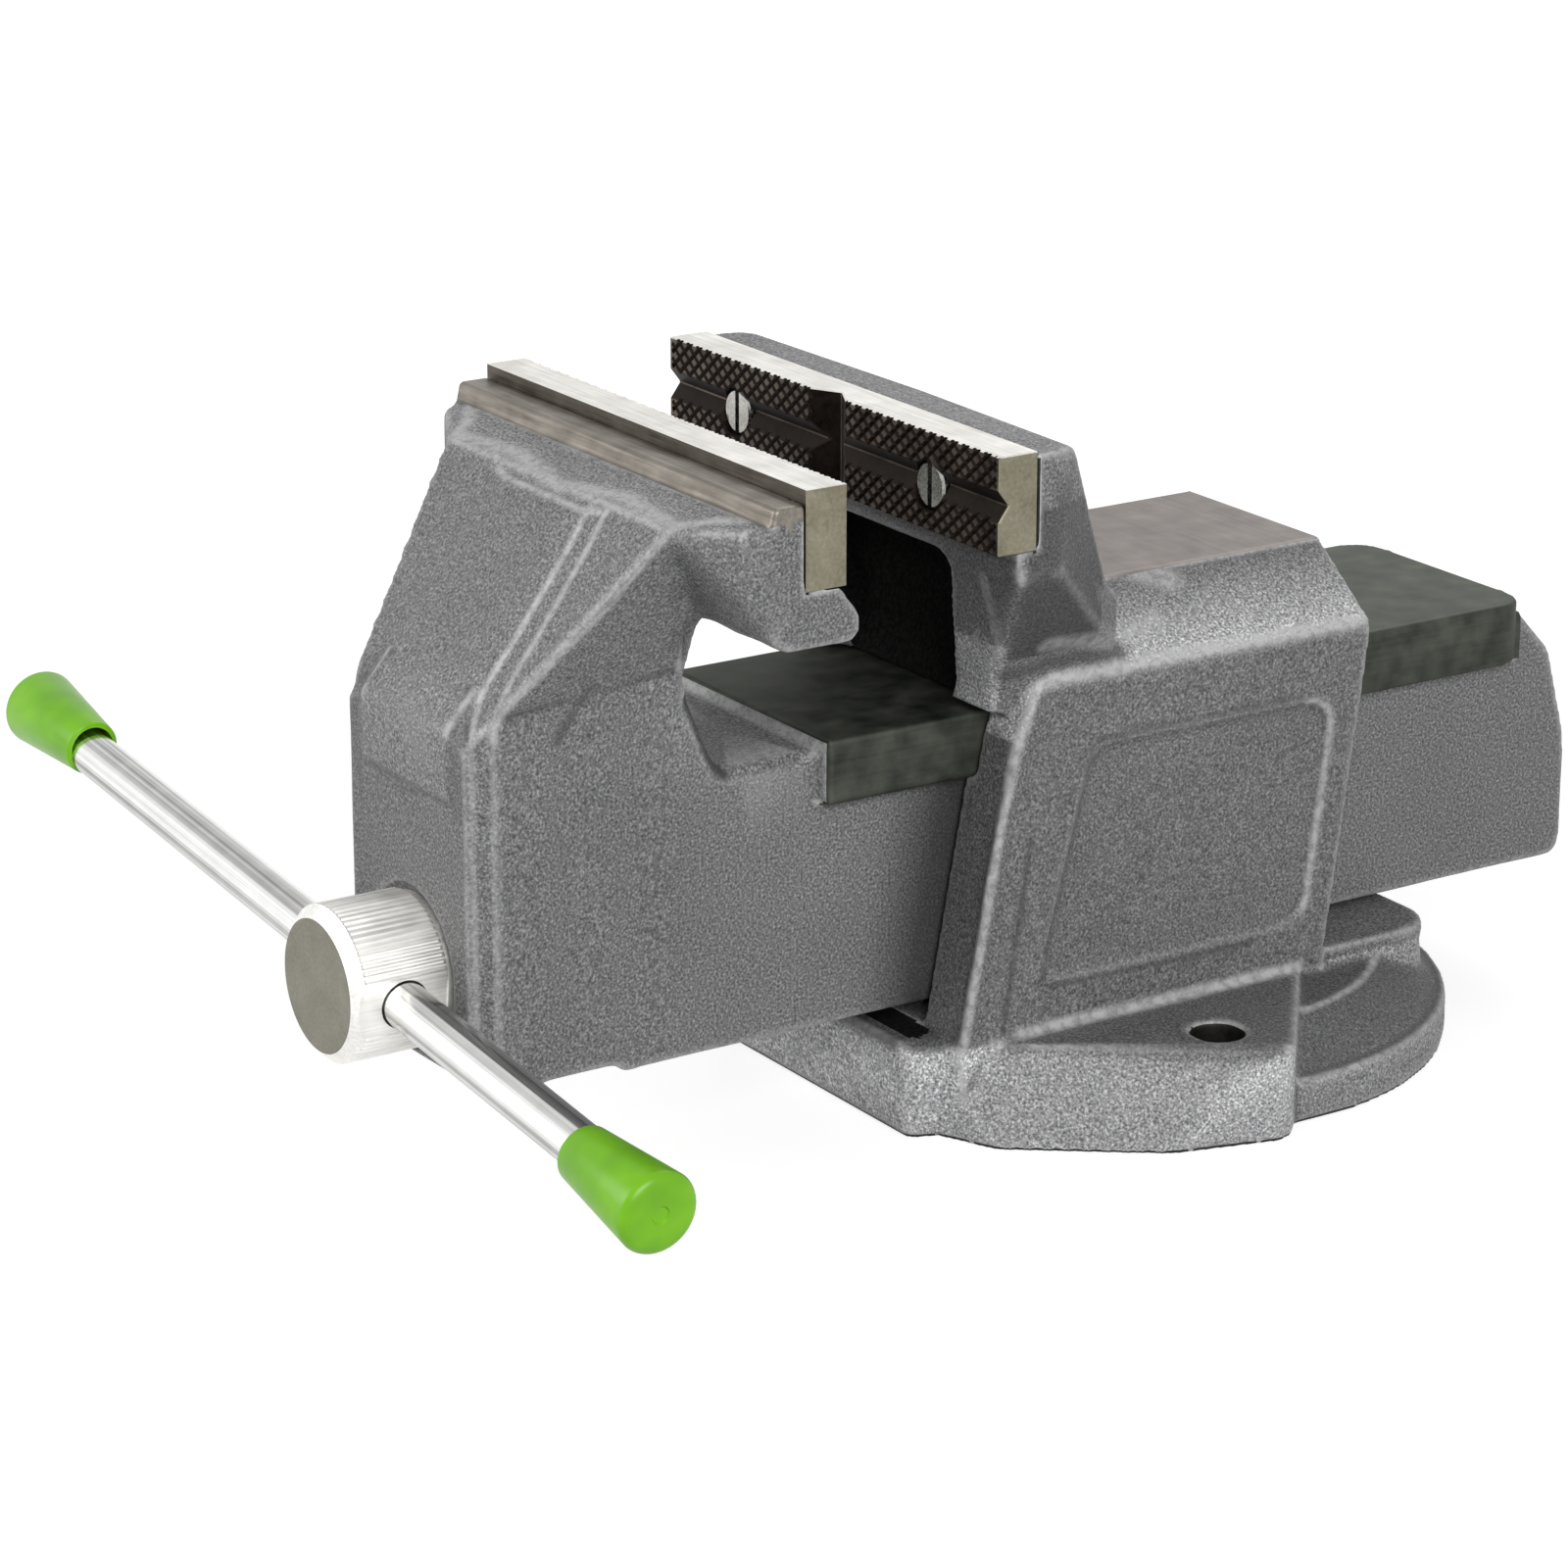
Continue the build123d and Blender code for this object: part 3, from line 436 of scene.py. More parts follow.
def sharpEdges(piece, convex):  # points along the sharp edges, without the facets of rounds
    form = bmesh.new()
    form.from_mesh(piece.data)
    points = []
    for edge in form.edges:
        if len(edge.link_faces) != 2 or edge.is_convex != convex:
            continue
        length = edge.calc_length()
        narrow = min(face.calc_area() for face in edge.link_faces) / length < casting["widerThan"] * mm
        if narrow or edge.calc_face_angle() < math.radians(casting["sharperThan"]):
            continue
        points += pathThrough([vertex.co / mm for vertex in edge.verts], casting["spacing"])
    form.free()
    return points


def outsideBoxes(points, boxes):
    kept = inBoxes(np.array(points), [(None, low, high) for low, high in boxes]) < 0
    return [point for point, keep in zip(points, kept) if keep]


def treeOf(points):
    tree = KDTree(len(points))
    for index, point in enumerate(points):
        tree.insert(point, index)
    tree.balance()
    return tree


def nearness(points, line, width):  # 1 on the line, 0 past its width
    tree = treeOf(line)
    away = np.array([tree.find(point)[2] for point in points])
    return np.clip(casting["lineCore"] * (1 - away / (width * mm)), 0, 1)


def drawnLines(points, drawn):  # strongest of several lines, each with its width in mm and strength
    amount = np.zeros(len(points))
    for corners, width, strength in drawn:
        low = np.min(corners, axis=0) * mm - width * mm
        high = np.max(corners, axis=0) * mm + width * mm
        close = np.flatnonzero(np.all((points >= low) & (points <= high), axis=1))
        path = pathThrough(corners, casting["spacing"], casting["sway"])
        amount[close] = np.maximum(amount[close], strength * nearness(points[close], path, width))
    return amount


def meltAmount(points, zones):  # 1 on each zone's line, 0 past its radius
    amount = np.zeros(len(points))
    for start, end, radius in zones:
        start, end = np.array(start) * mm, np.array(end) * mm
        along = end - start
        share = np.clip((points - start) @ along / (along @ along), 0, 1)
        away = np.linalg.norm(points - start - share[:, None] * along, axis=1)
        amount = np.maximum(amount, np.clip(casting["meltCore"] * (1 - away / (radius * mm)), 0, 1))
    return amount


def paintedLightByFacing(points, normals, zones):
    # painted light and shade: lightness of the paint from the foot of a zone to its top, where it faces one
    # way (None: upright)
    tone = np.ones(len(points))
    for low, high, facing, atFoot, atTop in zones:
        low, high = np.array(low) * mm, np.array(high) * mm
        inside = np.all((points >= low) & (points <= high), axis=1)
        facingIt = 1 - np.abs(normals[:, 2]) if facing is None else normals @ np.array(facing, float)
        share = inside * np.clip((facingIt - casting["facingFrom"]) / casting["facingBand"], 0, 1)
        height = np.clip((points[:, 2] - low[2]) / (high[2] - low[2]), 0, 1)
        tone *= 1 + share * (atFoot + (atTop - atFoot) * height - 1)
    return tone


def paintedShadeDepth(points, zones):  # painted shade that thickens past a plane, inside a box
    soot = np.zeros(len(points))
    for low, high, origin, inward, reach, most in zones:
        inside = np.all((points >= np.array(low) * mm) & (points <= np.array(high) * mm), axis=1)
        depth = (points - np.array(origin) * mm) @ np.array(inward) / (reach * mm)
        soot = np.maximum(soot, inside * np.clip(depth, 0, 1) * most)
    return soot


def castSkin(piece, look):
    # rounded edges and a wavy skin, machined faces kept true; gives the points and how far each swells out
    cadTree = BVHTree.FromObject(piece, bpy.context.evaluated_depsgraph_get())
    for corners, radius in look["beads"]:
        addBead(piece, pathThrough(corners, casting["beadSpacing"], casting["sway"]), radius * mm)
    remesh = piece.modifiers.new("remesh", "REMESH")
    remesh.mode = "VOXEL"
    remesh.voxel_size = casting["voxel"] * mm
    bakeModifiers(piece)
    mesh = piece.data
    edges, points = meshEdges(mesh), meshPoints(mesh)
    machined = inBoxes(points, look["machined"]) >= 0
    easing = np.full(len(points), casting["easing"])
    points = eased(points, edges, easing, casting["softening"])
    points = eased(points, edges, easing * meltAmount(points, look["melted"]), look["meltRounds"])
    setPoints(mesh, points)
    waves = sum(np.array([noise.noise(Vector(point) * scale) for point in points]) * height
                for scale, height in casting["waves"])
    points += meshNormals(mesh) * (waves * mm * ~machined)[:, None]
    for index in np.flatnonzero(machined):
        points[index] = cadTree.find_nearest(Vector(points[index]))[0]
    setPoints(mesh, points)
    outward = points - eased(points, edges, easing, casting["swellRounds"])
    return points, np.einsum("ij,ij->i", outward, meshNormals(mesh)) / mm


def thinOut(piece, points, look, edges):  # fewer faces where no edge, drawn line or fading painted shade is near
    drawn = drawnLines(points, [(path, width + casting["lineMargin"], 1)
                                for path, width, _ in look["wearAndHighlightLines"] + look["paintedShadeLines"]])
    paintedShadeHere = paintedShadeDepth(points, look["soot"])
    fading = (paintedShadeHere > 0) * (paintedShadeHere < casting["paintedShadeEven"])
    near = nearness(points, edges, casting["fineWithin"]) + drawn + fading
    group = piece.vertex_groups.new(name="plain")
    for weight, chosen in ((1.0, near <= 0), (0.0, near > 0)):
        group.add(np.flatnonzero(chosen).tolist(), weight, "REPLACE")
    thin = piece.modifiers.new("thin", "DECIMATE")
    thin.ratio = min(1.0, casting["triangles"] / (2 * len(piece.data.polygons)))
    thin.vertex_group = group.name
    bakeModifiers(piece)
    piece.vertex_groups.clear()


def paintLayers(mesh, look, swell, ridges, creases):  # where the enamel gets wear with painted highlight, painted crease shade, painted deep shade, and painted light by facing
    points = meshPoints(mesh)
    firm = 1 - casting["meltHides"] * meltAmount(points, look["melted"])
    wear = firm * np.maximum(casting["ridgeWearAndHighlight"] * nearness(points, ridges, casting["wearAndHighlightWidth"]),
                             (swell - casting["swellFrom"]) / casting["swellWearAndHighlight"])
    hollow = firm * np.maximum(casting["creaseShade"] * nearness(points, creases, casting["hollowWidth"]),
                               (-swell - casting["swellFrom"]) / casting["swellShade"])
    layers = {"wear": np.maximum(wear, drawnLines(points, look["wearAndHighlightLines"])),
              "hollow": np.maximum(hollow, drawnLines(points, look["paintedShadeLines"])),
              "soot": paintedShadeDepth(points, look["soot"]),
              "tone": paintedLightByFacing(points, meshNormals(mesh), look["paintedLightZones"])}
    for name, values in layers.items():
        layer = mesh.attributes.new(name, "FLOAT", "POINT")
        most = casting["paintedLightMost"] if name == "tone" else 1
        layer.data.foreach_set("value", np.clip(values, 0, most).astype(np.float32))


def faceFinishes(mesh, look):  # enamel, or a box's own finish, or the black painted shade where that shade is thick
    used = list(dict.fromkeys([enamel, deepShadeBlack] + [finish for finish, _, _ in look["machined"]]))
    centres = np.array([polygon.center for polygon in mesh.polygons])
    slots = np.array([used.index(finish) for finish, _, _ in look["machined"]] + [0])  # enamel in no box
    chosen = slots[inBoxes(centres, look["machined"])]
    chosen[(chosen == 0) & (paintedShadeDepth(centres, look["soot"]) > casting["paintedShadeBlack"])] = used.index(deepShadeBlack)
    mesh.polygons.foreach_set("material_index", chosen.astype(np.int32))
    return used


def castPiece(node, body, look):
    piece = cadCopy(node, node + "_cast")
    ridges, creases = sharpEdges(piece, True), sharpEdges(piece, False)
    points, swell = castSkin(piece, look)
    thinOut(piece, points, look, ridges + creases)
    dense = treeOf(points)
    swell = swell[[dense.find(point)[1] for point in meshPoints(piece.data)]]
    ridges, creases = (outsideBoxes(edge, look["plainEdges"]) for edge in (ridges, creases))
    paintLayers(piece.data, look, swell, ridges, creases)
    finishes = faceFinishes(piece.data, look)
    piece.data.shade_smooth()
    fit(piece, body, node, finishes)
    print(node, "cast:", len(piece.data.polygons), "faces")


def bothSides(path):  # the path as given, and mirrored to the other side
    return [path, [(-x, y, z) for x, y, z in path]]


def strokes(*drawn):  # each path with its width and strength, on both sides
    return [(path, width, strength) for one, width, strength in drawn for path in bothSides(one)]


front, up, right, left = (0, -1, 0), (0, 0, 1), (1, 0, 0), (-1, 0, 0)
movingJaw = {  # places and sizes in mm
    "meltRounds": 60, "beads": [],
    "plainEdges": [  # boxes whose edges get neither wear with painted highlight nor painted crease shade
        ((-36, -197, 30), (36, -184, 124)), ((28, -134, 103), (34, -97, 128)),
        ((-34, -134, 103), (-28, -97, 128))],
    "melted": [zone for side in (-1, 1) for zone in (  # start, end and radius of the softest places
        ((side * 38, -170, 120), (side * 44, -138, 146), 13),
        ((side * 52, -143, 158), (side * 66, -138, 151), 11),
        ((side * 56, -147, 169), (side * 70, -142, 160), 9),
        ((side * 75, -139, 152), (side * 75, -139, 176), 5),
        ((side * 31.5, -131, 124), (side * 31.5, -123, 106), 3.5),
        ((side * 31.5, -122, 105), (side * 31.5, -98, 104.8), 3))],
    # lines of painted highlight, partly rubbed paint on edges and crests
    "wearAndHighlightLines": strokes(
        ([(0, -94.8, 107), (35.6, -94.8, 107), (35.8, -94.8, 93)], 2.4, 0.75),
        ([(53, -150.5, 175.5), (49, -157, 165), (44, -165, 154), (38.5, -176, 142), (34, -186, 131)],
         1.5, 0.7),
        ([(29.2, -192.2, 124), (29.2, -192.2, 32)], 1.5, 0.4),
        ([(33.5, -188.4, 126), (33.5, -188.4, 32)], 1.5, 0.4),
        ([(21, -194.8, 134), (0, -194.8, 134.5)], 1.4, 0.4),
        ([(2, -151, 176), (17, -147.5, 177), (27, -146, 177.5), (43, -148, 177), (52, -149, 176.5)],
         3.8, 0.65),
        ([(52, -149, 176.5), (58, -141.5, 178), (66, -137, 179.5)], 3, 0.7),
        ([(0, -136.3, 179), (64, -136.3, 179.5)], 1.6, 0.7),
        ([(37, -149.5, 176), (23, -151, 176), (10, -151.5, 176)], 2, 0.5)) + [
        ([(21, -153, 174), (23, -173, 149), (23.5, -186, 133), (29, -191.5, 125)], 1.4, 0.9),
        ([(27, -152, 175), (29.5, -167, 156), (31, -182, 137), (33.5, -188.4, 126)], 1.6, 0.8)],
    # lines of painted shade in creases, gaps and along the throat
    "paintedShadeLines": strokes(
        ([(33, -161, 134), (33.4, -170, 122)], 2.5, 0.6),
        ([(31, -132, 126), (31, -124.4, 107.2), (31, -121.8, 104)], 2.6, 1.0),
        ([(21.6, -194.4, 106.6), (0, -194.4, 106.6)], 1.5, 0.6),
        ([(33.5, -190, 104.5), (0, -194, 104.5)], 1.4, 0.4)),
    "paintedLightZones": [  # painted light and shade: box, the way it faces, and lightness at its foot and top
        ((-21.5, -197, 106), (21.5, -180, 137), front, 1.12, 1.12),
        ((21.5, -195, 103), (29, -188, 137), front, 0.75, 0.75),
        ((-29, -195, 103), (-21.5, -188, 137), front, 0.75, 0.75),
        ((-30, -196, 30), (30, -190, 104), front, 0.78, 0.9),
        ((-76, -153, 173), (76, -135, 182), up, 1.1, 1.3)],
    "soot": [  # painted shade: box, point and direction where it starts, reach, and the most it gets
        ((-33, -95, 31), (33, 60, 92), (0, -91, 0), (0, 0.982, -0.187), 19, 0.84)],
    "machined": [
        (oiledSlide, (-37.5, -94.1, 91.4), (37.5, 135.6, 110)),
        (milledStrip, (-76, -136.6, 179.2), (76, -126.2, 185)),
        (bareIron, (-76, -127, 161.7), (76, -114.4, 184))],
}
fixedBody = {
    "meltRounds": 50,
    "beads": [(path, 1.5) for path in bothSides(
        [(51, -62.6, 25), (51, -59.2, 43), (51, -55.3, 66), (51, -51.7, 83), (51, -48.3, 95),
         (51, -44.7, 106), (51, -41.6, 116.5), (50.8, -37, 118.2), (51, -20, 118)])],
    "plainEdges": [
        ((47, -45, 30), (55, 46, 108)), ((-55, -45, 30), (-47, 46, 108)), ((-80, -68, 112), (80, -49, 162)),
        ((50, -50, 118), (80, -10, 172)), ((-80, -50, 118), (-50, -10, 172)),
        ((52, -64, -1), (100, 8, 24)), ((-100, -64, -1), (-52, 8, 24)), ((-46, -76, -1), (46, -63, 27))],
    "melted": [zone for side in (-1, 1) for zone in (
        ((side * 48, -42, 122), (side * 44, -8, 124), 9),
        ((side * 60, -47, 133), (side * 50, -25, 126), 7),
        ((side * 48, -51, 117), (side * 68, -60, 148), 8),
        ((side * 30, 3, 135), (side * 33, 16, 132), 7),
        ((side * 43.5, -69, 8), (side * 43.5, -69, 24), 7),
        ((side * 54, -60, 23), (side * 95, 4, 24), 5),
        ((side * 64, -53, 9), (side * 56, -52, 24), 6),
        ((side * 91, -12, 9), (side * 94, 0, 24), 6))],
    # lines of painted highlight, partly rubbed paint, along the bead, shoulder and base edges
    "wearAndHighlightLines": strokes(
        ([(51, -64, 22), (51, -60.8, 43), (51, -56.9, 66), (51, -53.3, 83), (51, -49.9, 95), (51, -46.3, 106),
          (51, -42.6, 117), (50.6, -37, 119.2)], 2.6, 0.85),
        ([(50.6, -37, 119.2), (50.4, -20, 119), (50, 0, 119), (50.4, 66, 118.8)], 3.2, 0.9),
        ([(58, -43, 131), (57, -30, 130), (50, -16, 127), (43, -7, 125), (41, 4, 126)], 4, 0.45),
        ([(58, -63, 152), (57, -60, 143), (56, -58, 135), (55, -56, 130)], 2.6, 0.35),
        ([(27, 6, 136), (31, 14, 133)], 6, 0.6),
        ([(52.3, -46, 26), (52.3, -13, 26), (52.3, 46, 26)], 2.5, 0.8),
        ([(57, -46.5, 25), (93, 2, 25)], 1.8, 0.6)),
    # lines of painted shade in creases and in the gap under the slide
    "paintedShadeLines": strokes(
        ([(51.5, -42.8, 77), (51.5, -47.7, 46), (51.5, -50.8, 27.6)], 1.3, 0.7),
        ([(51, -50, 123), (53, -41, 124), (53, -30, 125), (46, -12, 122)], 4, 0.55),
        ([(51.4, -38.5, 39), (51.4, -34, 57), (51.2, -24, 98)], 1.3, 0.7),
        ([(51.4, -22, 101), (51.4, 40, 101)], 1.2, 0.5),
        ([(51.4, -36, 37), (51.4, 30, 36)], 1.4, 0.6),
        ([(0, -73.8, 24.6), (35, -73.8, 24.6)], 3.6, 0.95)),
    # painted light and shade, by the way each face looks
    "paintedLightZones": [
        ((-52, -64, 26), (52, 80, 116), right, 0.92, 0.92),
        ((-52, -64, 26), (52, 80, 116), left, 0.92, 0.92),
        ((-100, -80, 0.5), (100, 12, 25.2), None, 2.4, 3.2),
        ((-100, 12, 0.5), (100, 115, 25.2), None, 1.4, 1.9),
        ((-100, -80, 24), (100, 60, 26), up, 0.75, 0.75),
        ((-100, 0, 11), (100, 115, 23), up, 0.6, 0.6),
        ((-52, -66, 26), (52, -45, 104), front, 0.75, 0.75),
        ((-58, -58, 104), (58, -38, 132), front, 2.9, 2.6),
        ((-76, -66, 132), (76, -50, 160), front, 1.1, 0.4),
        ((50, -62, 128), (80, -28, 172), right, 0.27, 0.44),
        ((-80, -62, 128), (-50, -28, 172), left, 0.27, 0.44),
        ((-52, -12, 117), (52, 68, 135.2), up, 3.4, 0.65)],
    # painted shade deep in the neck's hollow
    "soot": [
        ((-44.5, -66, 109), (44.5, -38.5, 156.5), (0, -51, 115), (0, 0.949, 0.316), 4, 0.95)],
    "machined": [
        (milledAnvil, (-28.2, -36, 135.0), (28.2, 68, 136)),
        (bareIron, (-76, -60, 161.7), (76, -59, 187)),
        # black painted shadow on the base under the slide
        (deepShadeBlack, (-37, -69.6, 24.4), (37, -44, 25.8)),
        (bareIron, (-33.2, -44, 25.6), (33.2, 44, 91.5)),
        (bareIron, (-37.2, -40, 91.5), (37.2, 52, 109.6)),
        (bareIron, (68, -7.6, -1), (83, 7.6, 24.4)),
        (bareIron, (-83, -7.6, -1), (-68, 7.6, 24.4)),
        (bareIron, (-100, -80, -1), (100, 115, 0.5))],
}
castPiece("moving_jaw", "jaw", movingJaw)
castPiece("fixed_jaw_body", "base", fixedBody)


# Jaw plates

jawPlate = {  # mm and degrees; the facings are how squarely a face has to look that way
    "edge": 0.35, "edgeAngle": 40, "hatchPitch": 3.0, "hatchWidth": 1.4, "hatchDepth": 0.7, "hatchAngle": 40,
    "hatchMargin": 1.2, "cutterProud": 0.2, "cutterFlare": 1.25, "skin": 1.0,
    "edgeFacing": 0.6, "gripFacing": 0.98, "backFacing": 0.9,
}


def hatchCutter(faceY, into, low, high, lean):
    # a row of V-shaped bars laid across the gripping face at one slant, coarser than real so that they show
    points, faces = [], []
    middle = (low + high) / 2
    along = Vector((math.cos(lean), 0, math.sin(lean)))
    across = Vector((-along.z, 0, along.x))
    half = jawPlate["hatchWidth"] / 2 * mm
    flare = jawPlate["cutterFlare"]
    pitch = jawPlate["hatchPitch"] * mm
    margin = jawPlate["hatchMargin"] * mm
    outside = Vector((0, -into * jawPlate["cutterProud"] * mm, 0))
    inside = Vector((0, into * jawPlate["hatchDepth"] * mm, 0))
    count = int((high - low).length / 2 / pitch)
    for k in range(-count, count + 1):
        centre = Vector((middle.x, faceY, middle.z)) + across * (k * pitch)
        first = len(points)
        for end in ((low.x + margin - centre.x) / along.x, (high.x - margin - centre.x) / along.x):
            points += [centre + along * end + across * half * flare + outside,
                       centre + along * end - across * half * flare + outside,
                       centre + along * end + inside]
        a, b, c, d, e, f = range(first, first + 6)
        faces += [(a, b, c), (d, f, e), (a, d, e, b), (b, e, f, c), (c, f, d, a)]
    return newPiece("hatch", meshFrom("hatch", points, faces))


def makePlate(node, body, into):
    piece = cadCopy(node, node + "_hatched")
    low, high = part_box(node)
    faceY = low.y if into > 0 else high.y
    bevel = piece.modifiers.new("edge", "BEVEL")
    bevel.width = jawPlate["edge"] * mm
    bevel.limit_method = "ANGLE"
    bevel.angle_limit = math.radians(jawPlate["edgeAngle"])
    bakeModifiers(piece)
    for sign in (-1, 1):
        cutWith(piece, hatchCutter(faceY, into, low, high, sign * math.radians(jawPlate["hatchAngle"])))
    finishes = [blackGrip, groundSteel, sawnSteel, wornGrip, scaledSteel]
    skin, squarely = jawPlate["skin"] * mm, jawPlate["edgeFacing"]
    for polygon in piece.data.polygons:
        facing, centre = polygon.normal, polygon.center
        if facing.z > squarely and centre.z > high.z - skin:
            polygon.material_index = finishes.index(groundSteel)
        elif abs(facing.x) > squarely and high.x - abs(centre.x) < skin:
            polygon.material_index = finishes.index(sawnSteel)
        elif facing.y * into < -jawPlate["gripFacing"]:
            polygon.material_index = finishes.index(wornGrip)
        elif facing.y * into > jawPlate["backFacing"]:
            polygon.material_index = finishes.index(scaledSteel)
    fit(piece, body, node, finishes)
    print(node, "hatched:", len(piece.data.polygons), "faces")


makePlate("fixed_jaw_plate", "base", 1)
makePlate("moving_jaw_plate", "jaw", -1)


# Plate screws

plateScrew = {  # mm
    "headRadius": 6.0, "headHeight": 6.0, "chamfer": 0.6, "shankRadius": 4.0, "slotWidth": 1.8,
    "slotDepth": 2.4, "tip": 1.0, "cutterSpare": 1, "segments": 64,
}


def makePlateScrew(node, body, into):
    low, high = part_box(node)
    length = (high.y - low.y) / mm
    head, cut, shank = plateScrew["headRadius"], plateScrew["chamfer"], plateScrew["shankRadius"]
    seat, tip = plateScrew["headHeight"], plateScrew["tip"]
    piece = turned(node + "_turned", [
        (0, 0), (head - cut, 0), (head, cut), (head, seat), (shank, seat), (shank, length - tip),
        (shank - tip, length), (0, length)], plateScrew["segments"])
    slot, spare = plateScrew["slotWidth"] / 2, plateScrew["cutterSpare"]
    cutWith(piece, boxPiece("slot", (-slot, -head - spare, -spare),
                            (slot, head + spare, plateScrew["slotDepth"])))
    top = Vector(((low.x + high.x) / 2, low.y if into > 0 else high.y, (low.z + high.z) / 2))
    piece.matrix_world = standOn(top, (0, into, 0), (1, 0, 0))
    smoothShade(piece)
    fit(piece, body, node, [brightScrew])


for side in ("left", "right"):
    makePlateScrew("fixed_plate_screw_" + side, "base", 1)
    makePlateScrew("moving_plate_screw_" + side, "jaw", -1)
print("plate screws made")


# Spindle

spindle = {  # mm; frontFacing is how squarely a face has to look forward
    "headRadius": 20.0, "headLength": 26.0, "headChamfer": 3.0, "edge": 0.5, "flatDepth": 1.5,
    "ribs": 72, "ribDepth": 0.4, "pointsPerRib": 4, "frontFacing": 0.9,
    "holeRadius": 6.4, "holeFromBack": 11.8, "holeSegments": 64, "cutterSpare": 1,
    "journalRadius": 15.0, "journalLength": 39.0, "seatLength": 14.0,
    "threadRadius": 14.0, "rootRadius": 11.0, "rootChamfer": 1, "pitch": 6.0, "crest": 1.9, "flank": 1.1,
    "ridgeSunk": 1.5,
}
handleAxis = Vector(joints["handle_slide"]["axis"])
spindleAxis = Vector(joints["screw_turn"]["axis"])


def helicalRidge(start, end, steps=40):
    # raised square-ish thread wound right-handed about local Z
    root, crest = spindle["rootRadius"] - spindle["ridgeSunk"], spindle["threadRadius"]
    half, flank = spindle["crest"] / 2, spindle["flank"]
    section = [(root, -half - flank), (crest, -half), (crest, half), (root, half + flank)]
    turns = (end - start - 2 * (half + flank)) / spindle["pitch"]
    count = int(turns * steps)
    points, faces = [], []
    for k in range(count + 1):
        angle = 2 * math.pi * k / steps
        height = start + half + flank + spindle["pitch"] * k / steps
        for radius, offset in section:
            points.append((radius * mm * math.cos(angle), radius * mm * math.sin(angle),
                           (height + offset) * mm))
    for k in range(count):
        for i in range(4):
            j = (i + 1) % 4
            faces.append((k * 4 + i, k * 4 + j, k * 4 + 4 + j, k * 4 + 4 + i))
    faces += [(0, 1, 2, 3), tuple(count * 4 + i for i in (3, 2, 1, 0))]
    return newPiece("thread", meshFrom("thread", points, faces))


def makeSpindle():
    low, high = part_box("lead_screw")
    total = (high.y - low.y) / mm
    head, chamfer, back = spindle["headRadius"], spindle["headChamfer"], spindle["headLength"]
    journal, root, thread = spindle["journalRadius"], spindle["rootRadius"], spindle["threadRadius"]
    edge, rootCut, perRib = spindle["edge"], spindle["rootChamfer"], spindle["pointsPerRib"]
    journalEnd = back + spindle["journalLength"]
    seatEnd = journalEnd + spindle["seatLength"]

    def ribbed(radius, height, i):  # half of each rib's points sink to its valley
        between = chamfer < height < back and radius == head
        return radius - (spindle["ribDepth"] if between and i % perRib < perRib / 2 else 0)

    piece = turned("lead_screw_turned", [
        (0, 0), (head - chamfer, 0), (head, chamfer), (head, chamfer + edge), (head, back - 2 * edge),
        (head - edge, back), (journal, back), (journal, journalEnd), (thread, journalEnd), (thread, seatEnd),
        (root, seatEnd + rootCut), (root, total - rootCut), (root - rootCut, total), (0, total)],
        perRib * spindle["ribs"], ribbed)
    cutWith(piece, helicalRidge(seatEnd, total), "UNION")
    holeAt = back - spindle["holeFromBack"]
    bore, reach = spindle["holeRadius"], 2 * head
    hole = turned("hole", [(0, -reach), (bore, -reach), (bore, reach), (0, reach)], spindle["holeSegments"])
    hole.matrix_world = standOn((0, 0, holeAt * mm), (1, 0, 0), (0, 1, 0))
    cutWith(piece, hole)
    flat = head - spindle["flatDepth"]
    for side in (-1, 1):
        ends = sorted((side * flat, side * reach))
        cutWith(piece, boxPiece("flat", (ends[0], -head, -spindle["cutterSpare"]),
                                (ends[1], head, back + edge)))
    finishes = [turnedSteel, facedSteel]
    for polygon in piece.data.polygons:
        if polygon.normal.z < -spindle["frontFacing"] and polygon.center.z < edge * mm:
            polygon.material_index = finishes.index(facedSteel)
    axisPoint = Vector(joints["screw_turn"]["pos_m"])
    piece.matrix_world = standOn((axisPoint.x, low.y, axisPoint.z), spindleAxis, handleAxis)
    smoothShade(piece, sharpDegrees=25)
    fit(piece, "screw", "lead_screw", finishes)
    print("spindle made:", len(piece.data.polygons), "faces")


makeSpindle()


# Handle

handle = {  # mm and degrees
    "edge": 0.8, "capMouthRadius": 7.5, "capEndRadius": 10.5, "capLength": 34.0, "capWall": 6.0, "lip": 0.8,
    "endRound": 2.6, "endLean": 8, "boreGap": 0.05, "gateRadius": 2.0, "gateSlope": 0.4, "gateDepth": 0.5,
}


def spanAlong(node, direction):  # centre of the piece, and its ends along the direction from there
    points = np.array([vertex.co for vertex in nodes[node].data.vertices])
    centre = Vector((points.max(0) + points.min(0)) / 2)
    reach = (points - np.array(centre)) @ np.array(direction)
    return centre, reach.min(), reach.max()


def arcPoints(centre, radius, first, last, steps):  # (radius, height) points on a round, angles in degrees
    angles = [math.radians(first + (last - first) * k / steps) for k in range(steps + 1)]
    return [(centre[0] + radius * math.cos(a), centre[1] + radius * math.sin(a)) for a in angles]


def makeBar():
    centre, start, end = spanAlong("handle_bar", handleAxis)
    low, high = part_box("handle_bar")
    radius = (high.y - low.y) / 2 / mm
    length, edge = (end - start) / mm, handle["edge"]
    piece = turned("handle_bar_drawn", [
        (0, 0), (radius - edge, 0), (radius, edge), (radius, length - edge), (radius - edge, length),
        (0, length)])
    piece.matrix_world = standOn(centre + handleAxis * start, handleAxis, (0, 1, 0))
    smoothShade(piece)
    fit(piece, "handle", "handle_bar", [drawnChrome])
    return radius


